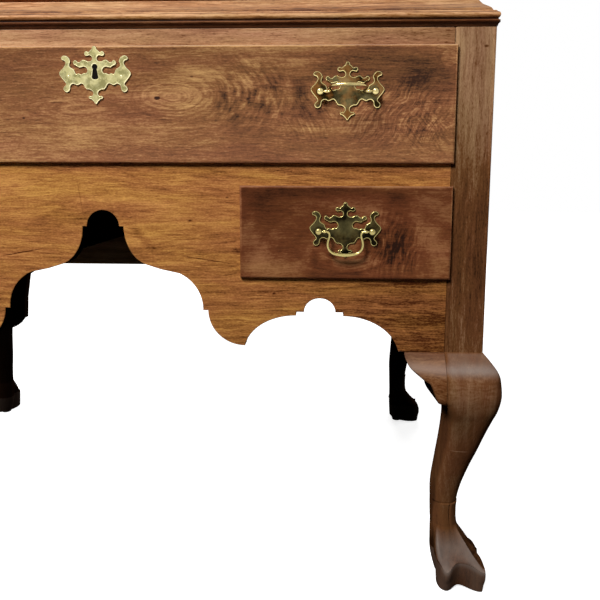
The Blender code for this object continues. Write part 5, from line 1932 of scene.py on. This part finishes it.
@dataclass
class Drawer(Assembly):
    """A lipped drawer: moulded front, dovetailed sides, back and bottom, with its brass.

    The opening gives the left, right, low and high edges; pulls gives each pull's name and middle, and
    escutcheon the height of a keyhole plate's middle.
    """

    name: str
    opening: tuple[float, float, float, float]
    face: float
    depth: float
    material: Material
    brass: Material
    pulls: Mapping[str, Pair]
    raised: str = ""
    escutcheon: float | None = None
    cad_escutcheon: bool = False
    raised_angle: float = -98.0
    clearance: float = 0.0012
    play: float = 0.0004
    overlap: float = 0.0030
    lip: float = 0.0060
    edge: float = 0.0030
    edge_rise: float = 0.72
    thickness: float = 0.020
    wall: float = 0.011
    tail: float = 0.0135
    tail_pitch: float = 0.036

    def front(self) -> Solid:
        """The front: a block in the opening, a lip that laps the case and a quarter-round edge.

        Rectangles by depth; along the edge the inset is e(1 - cos a) and the rise a share of e sin a.

        Returns:
            The front, with a painted highlight along its edge, most at the top, where light falls.
        """
        left, right, low, high = self.opening
        fit, lap = self.clearance + self.play, self.overlap
        inside = (left + fit, right - fit, low + JOINT_GAP, high - self.clearance)
        lapped = (left - lap, right + lap, low - lap, high + lap)
        angle = np.radians(np.linspace(0.0, 90.0, 9))
        rise = self.edge * self.edge_rise
        shrink = np.concatenate([np.zeros(3), self.edge * (1.0 - np.cos(angle)), [self.edge + 0.0007]])
        rounded = rise - self.lip - rise * np.sin(angle)
        depth = np.concatenate([[self.thickness, -JOINT_GAP, -JOINT_GAP], rounded, [0.0003 - self.lip]])
        frames = np.array([inside, inside] + [lapped] * (len(depth) - 2))
        x0, x1, z0, z1 = (frames + shrink[:, None] * np.array((1.0, -1.0, 1.0, -1.0))).T
        y = self.face + depth
        rings = [np.stack([x, y, z], 1) for x, z in ((x0, z0), (x1, z0), (x1, z1), (x0, z1))]
        # Painted highlight along the quarter-round edge, strongest on the top edge
        rub_shading = np.concatenate([[0.0, 0.0, 0.2], np.sin(2.0 * angle) ** 0.5, [0.0]])
        return skin(np.stack(rings, 1), rub_shading[:, None] * np.array((0.1, 0.1, 1.0, 1.0)))

    def _side_loop(self, low: float, high: float) -> Array:
        """A side's outline, with dovetails that widen towards the front.

        Args:
            low: Height of the lower edge.
            high: Height of the upper edge.

        Returns:
            Points in depth and height.
        """
        count = max(2, round((high - low) / self.tail_pitch))
        pitch = (high - low) / count
        middle = low + pitch * (np.arange(count) + 0.5)
        root, tip = self.thickness, self.thickness - self.tail
        corners = ((root, -0.26), (tip, -0.38), (tip, 0.38), (root, 0.26))
        tails = [np.stack([np.full(count, depth), middle + share * pitch], 1) for depth, share in corners]
        end = [(root, high), (self.depth, high), (self.depth, low)]
        return np.concatenate([[(root, low)], np.stack(tails, 1).reshape(-1, 2), end])

    def box(self) -> Solid:
        """The drawer's sides, back and bottom.

        Returns:
            Four boards.
        """
        left, right, low, high = self.opening
        bottom, top = low + JOINT_GAP + EASE, high - self.clearance - 0.010
        flat = slab([self._side_loop(bottom, top)], board_steps(self.wall, 0.0004))
        starts = (left + self.clearance, right - self.clearance - self.wall)
        inner, outer = starts[0] + self.wall, starts[1]
        near, back = self.face + self.thickness, self.face + self.depth
        stop = back - EASE
        return joined(
            [
                *(flat.sideways(start, self.face) for start in starts),
                eased_box((inner, back - self.wall, bottom + 0.010), (outer, stop, top - 0.003)),
                eased_box((inner, near, bottom + 0.002), (outer, stop, bottom + 0.009)),
            ]
        )

    def dress(self) -> None:
        """Place the drawer's wood and brass."""
        finishes, out, pull, plate = self.finishes, self.face - self.lip, Pull(), Escutcheon()
        place = partial(self.bench.place, body=f"{self.name}_body")
        wood, brass = "figured_walnut_front", "aged_brass"
        place(f"{self.name}_front", self.front(), self.material, [self.name], wood, 30.0)
        place(f"{self.name}_box", self.box(), finishes.pine_deep, (), wood)
        for name, (across, up) in self.pulls.items():
            solid = pull.plate_solid().moved(across, out, up)
            place(f"{name}_plate_cast", solid, self.brass, [f"{name}_plate"], brass, 30.0)
            bail = pull.bail_solid().turned(self.raised_angle if name == self.raised else 0.0)
            bail = bail.moved(across, out - pull.stand, up)
            node = f"{name}_bail"
            self.bench.place(f"{node}_cast", bail, self.brass, [node], brass, 60.0, f"{node}_body")
        if self.escutcheon is not None:
            spot = ((self.opening[0] + self.opening[1]) / 2, out, self.escutcheon)
            nodes = ["escutcheon"] if self.cad_escutcheon else []
            metal = plate.metal().moved(*spot)
            place(f"{self.name}_escutcheon", metal, finishes.plate_brass, nodes, brass, 30.0)
            place(f"{self.name}_keyhole", plate.hole().moved(*spot), finishes.shade, (), brass)


@dataclass
class Studio:
    """Camera at the photograph's place, soft lamps, a pale floor and a white surround.

    Each lamp has a name, a place and a target in the row's frame, a side in metres and a power in watts.
    """

    eye: Triple = (0.2968, -0.7609, 0.5825)
    yaw: float = 0.0394
    pitch: float = 0.1233
    roll: float = 0.0037
    focal: float = 573.11 / 600.0
    shift: float = -55.0 / 600.0
    sensor: float = 36.0
    floor_half: float = 8.0
    floor_drop: float = 0.0002
    lamps: tuple[tuple[str, Triple, Triple, float, float], ...] = (
        ("key_lamp", (-0.8, -2.05, 2.7), (0.05, -0.28, 0.65), 0.9, 108.0),
        ("right_lamp", (3.0, 1.1, 1.5), (0.0, 0.3, 0.8), 1.6, 26.0),
        ("left_lamp", (-3.0, 0.5, 1.4), (0.0, 0.1, 0.8), 1.6, 8.0),
        ("back_lamp", (0.5, 3.2, 1.9), (0.0, 0.3, 0.8), 1.8, 66.0),
    )

    def build(self) -> None:
        """Make the camera, the lamps, the floor and the world."""
        self._camera()
        self._lights()
        self._floor()
        self._world()

    @staticmethod
    def _added(name: str, data: bpy.types.ID) -> bpy.types.Object:
        """Put a new object into the scene.

        Args:
            name: Its name.
            data: Its mesh, lamp or camera.

        Returns:
            The object.
        """
        item = bpy.data.objects.new(name, data)
        bpy.context.scene.collection.objects.link(item)
        return item

    def _camera(self) -> None:
        """Stand the camera where the fit of the photograph's edges puts it."""
        cos, sin = math.cos, math.sin
        level = cos(self.pitch)
        forward = Vector((-sin(self.yaw) * level, cos(self.yaw) * level, -sin(self.pitch)))
        right = Vector((cos(self.yaw), sin(self.yaw), 0.0))
        up = right.cross(forward)
        across = cos(self.roll) * right + sin(self.roll) * up
        upward = -sin(self.roll) * right + cos(self.roll) * up
        camera = self._added("photo_camera", bpy.data.cameras.new("photo_camera"))
        turn = Matrix((across, upward, -forward)).transposed().to_4x4()
        turn.translation = Vector(row_point(*self.eye))
        camera.matrix_world = turn
        camera.data.sensor_width = self.sensor
        camera.data.lens = self.focal * self.sensor
        camera.data.shift_y = self.shift
        camera.data.clip_start = 0.01
        bpy.context.scene.camera = camera

    def _lights(self) -> None:
        """Hang the square soft lamps."""
        for name, place, target, size, power in self.lamps:
            data = bpy.data.lights.new(name, "AREA")
            data.size, data.energy = size, power
            lamp = self._added(name, data)
            lamp.location = place
            lamp.rotation_euler = (Vector(target) - Vector(place)).to_track_quat("-Z", "Y").to_euler()

    @staticmethod
    def _seen(add: Adder) -> Socket:
        """One for rays that see the surround straight, in a reflection or through glass.

        Args:
            add: Adds a node to the material or the world.

        Returns:
            The rays' share.
        """
        path = add("LightPath").node.outputs
        first = add("Math", {0: path["Is Camera Ray"], 1: path["Is Glossy Ray"]}, operation="MAXIMUM")
        return add("Math", {0: first, 1: path["Is Transmission Ray"]}, operation="MAXIMUM")

    def _floor(self) -> None:
        """Lay a wide floor: white to the eye with the object's shadow, dim as a bounce."""
        mesh, half = bpy.data.meshes.new("floor"), self.floor_half
        corners = ((-half, -half), (half, -half), (half, half), (-half, half))
        mesh.from_pydata([(*corner, -self.floor_drop) for corner in corners], [], [[0, 1, 2, 3]])
        floor = self._added("floor", mesh)
        material = bpy.data.materials.new("pale_studio_floor")
        add = node_adder(material)
        far = add("VectorMath", {0: add("TexCoord", out="Object")}, "Value", operation="LENGTH")
        glow = add("MapRange", {0: far, "From Min": 0.9, "From Max": 2.4, "To Min": 0.80})
        white = add("Emission", {"Color": linear("ffffff"), "Strength": glow})
        pale, dim = (add("BsdfDiffuse", {"Color": linear(code)}) for code in ("e6e6e6", "1c1a18"))
        bright = add("AddShader", {0: white, 1: pale})
        add("OutputMaterial", {"Surface": add("MixShader", {0: self._seen(add), 1: dim, 2: bright})})
        mesh.materials.append(material)

    def _world(self) -> None:
        """Surround the scene with white to the eye and a soft grey light."""
        world = bpy.data.worlds.new("studio_world")
        add = node_adder(world)
        white = add("Background", {"Color": linear("ffffff"), "Strength": 1.0})
        soft = add("Background", {"Color": linear("fff6ea"), "Strength": 0.035})
        add("OutputWorld", {"Surface": add("MixShader", {0: self._seen(add), 1: soft, 2: white})})
        bpy.context.scene.world = world
        bpy.context.scene.view_settings.view_transform = "Standard"


@dataclass
class Highboy(Assembly):
    """The whole piece: legs, cases, mouldings and drawers."""

    lower_depth: float = 0.535
    upper_depth: float = 0.506
    long_pull: Pair = (0.3272, 0.6865)
    long_lock: float = 0.7072
    small_pull: float = 0.5080
    upper_pull: float = 0.3050
    lock_drop: float = 0.046
    cornice_drop: float = 0.056
    waist_quirk: float = 0.0098

    @staticmethod
    def _two_pulls(name: str, across: float, up: float) -> dict[str, Pair]:
        """The names and middles of a long drawer's pulls."""
        return {f"{name}_pull_{side.word}": (side.value * across, up) for side in Side}

    def drawers(self, boards: CaseBoards) -> list[Drawer]:
        """Every drawer, from the lower case's to the short ones at the top.

        Args:
            boards: The case that they slide in.

        Returns:
            The drawers.
        """
        finishes, inner = self.finishes, boards.post_inner
        lower, upper = (0.0, self.lower_depth), (boards.upper_inset, self.upper_depth)
        name, brass = "long_drawer", finishes.pull_brass
        pulls = self._two_pulls(name, *self.long_pull)
        opening = (-inner, inner, *LONG_ROWS)
        raised = (f"{name}_pull_right", self.long_lock, True)
        found = [Drawer(self.bench, name, opening, *lower, finishes.long_front, brass, pulls, *raised)]
        for side in Side:
            ends = side.span(SMALL_INNER, inner)
            pulls = {f"small_drawer_pull_{side.word}": (sum(ends) / 2, self.small_pull)}
            looks = (finishes.small_front, finishes.dull_brass)
            opening = (*ends, *SMALL_ROWS)
            found.append(Drawer(self.bench, f"small_drawer_{side.word}", opening, *lower, *looks, pulls))
        inner, level, looks = boards.upper_inner, boards.upper_floor, (finishes.upper_front, brass)
        for number, row in enumerate(boards.rows[:-1], start=1):
            name, high = f"upper_drawer_{number}", level + row
            pulls = self._two_pulls(name, self.upper_pull, level + row / 2)
            opening = (-inner, inner, level, high)
            lock = high - self.lock_drop
            found.append(Drawer(self.bench, name, opening, *upper, *looks, pulls, escutcheon=lock))
            level = high + boards.rail
        row = boards.rows[-1]
        for side in Side:
            ends = side.span(PARTITION_HALF, inner)
            pulls = {f"top_drawer_pull_{side.word}": (sum(ends) / 2, level + row / 2)}
            opening = (*ends, level, level + row)
            found.append(Drawer(self.bench, f"top_drawer_{side.word}", opening, *upper, *looks, pulls))
        return found

    def dress(self) -> None:
        """Build every sub-assembly in order."""
        bench, leg, boards = self.bench, CabrioleLeg(self.bench), CaseBoards(self.bench)
        waist = waist_section(JOINT_GAP - boards.upper_inset)
        foot, cornice = boards.top_board - self.cornice_drop, cornice_section(JOINT_GAP)
        pieces = [
            leg,
            KneeBlock(bench, leg),
            BackBracket(bench),
            Apron(bench),
            boards,
            Moulding(bench, "waist_moulding", waist, CASE_TOP + JOINT_GAP, CASE_HALF, 0.0, self.waist_quirk),
            Moulding(bench, "cornice", cornice, foot, boards.upper_half, boards.upper_inset, 0.0),
            *self.drawers(boards),
        ]
        for piece in pieces:
            piece.dress()


def main() -> None:
    """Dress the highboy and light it."""
    logging.basicConfig(level=logging.INFO, format="%(name)s: %(message)s")
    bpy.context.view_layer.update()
    bench = Workbench(Finishes())
    Highboy(bench).dress()
    Studio().build()
    bpy.context.view_layer.update()
    log.info("%d pieces placed", bench.count)


if __name__ == "__main__":
    main()
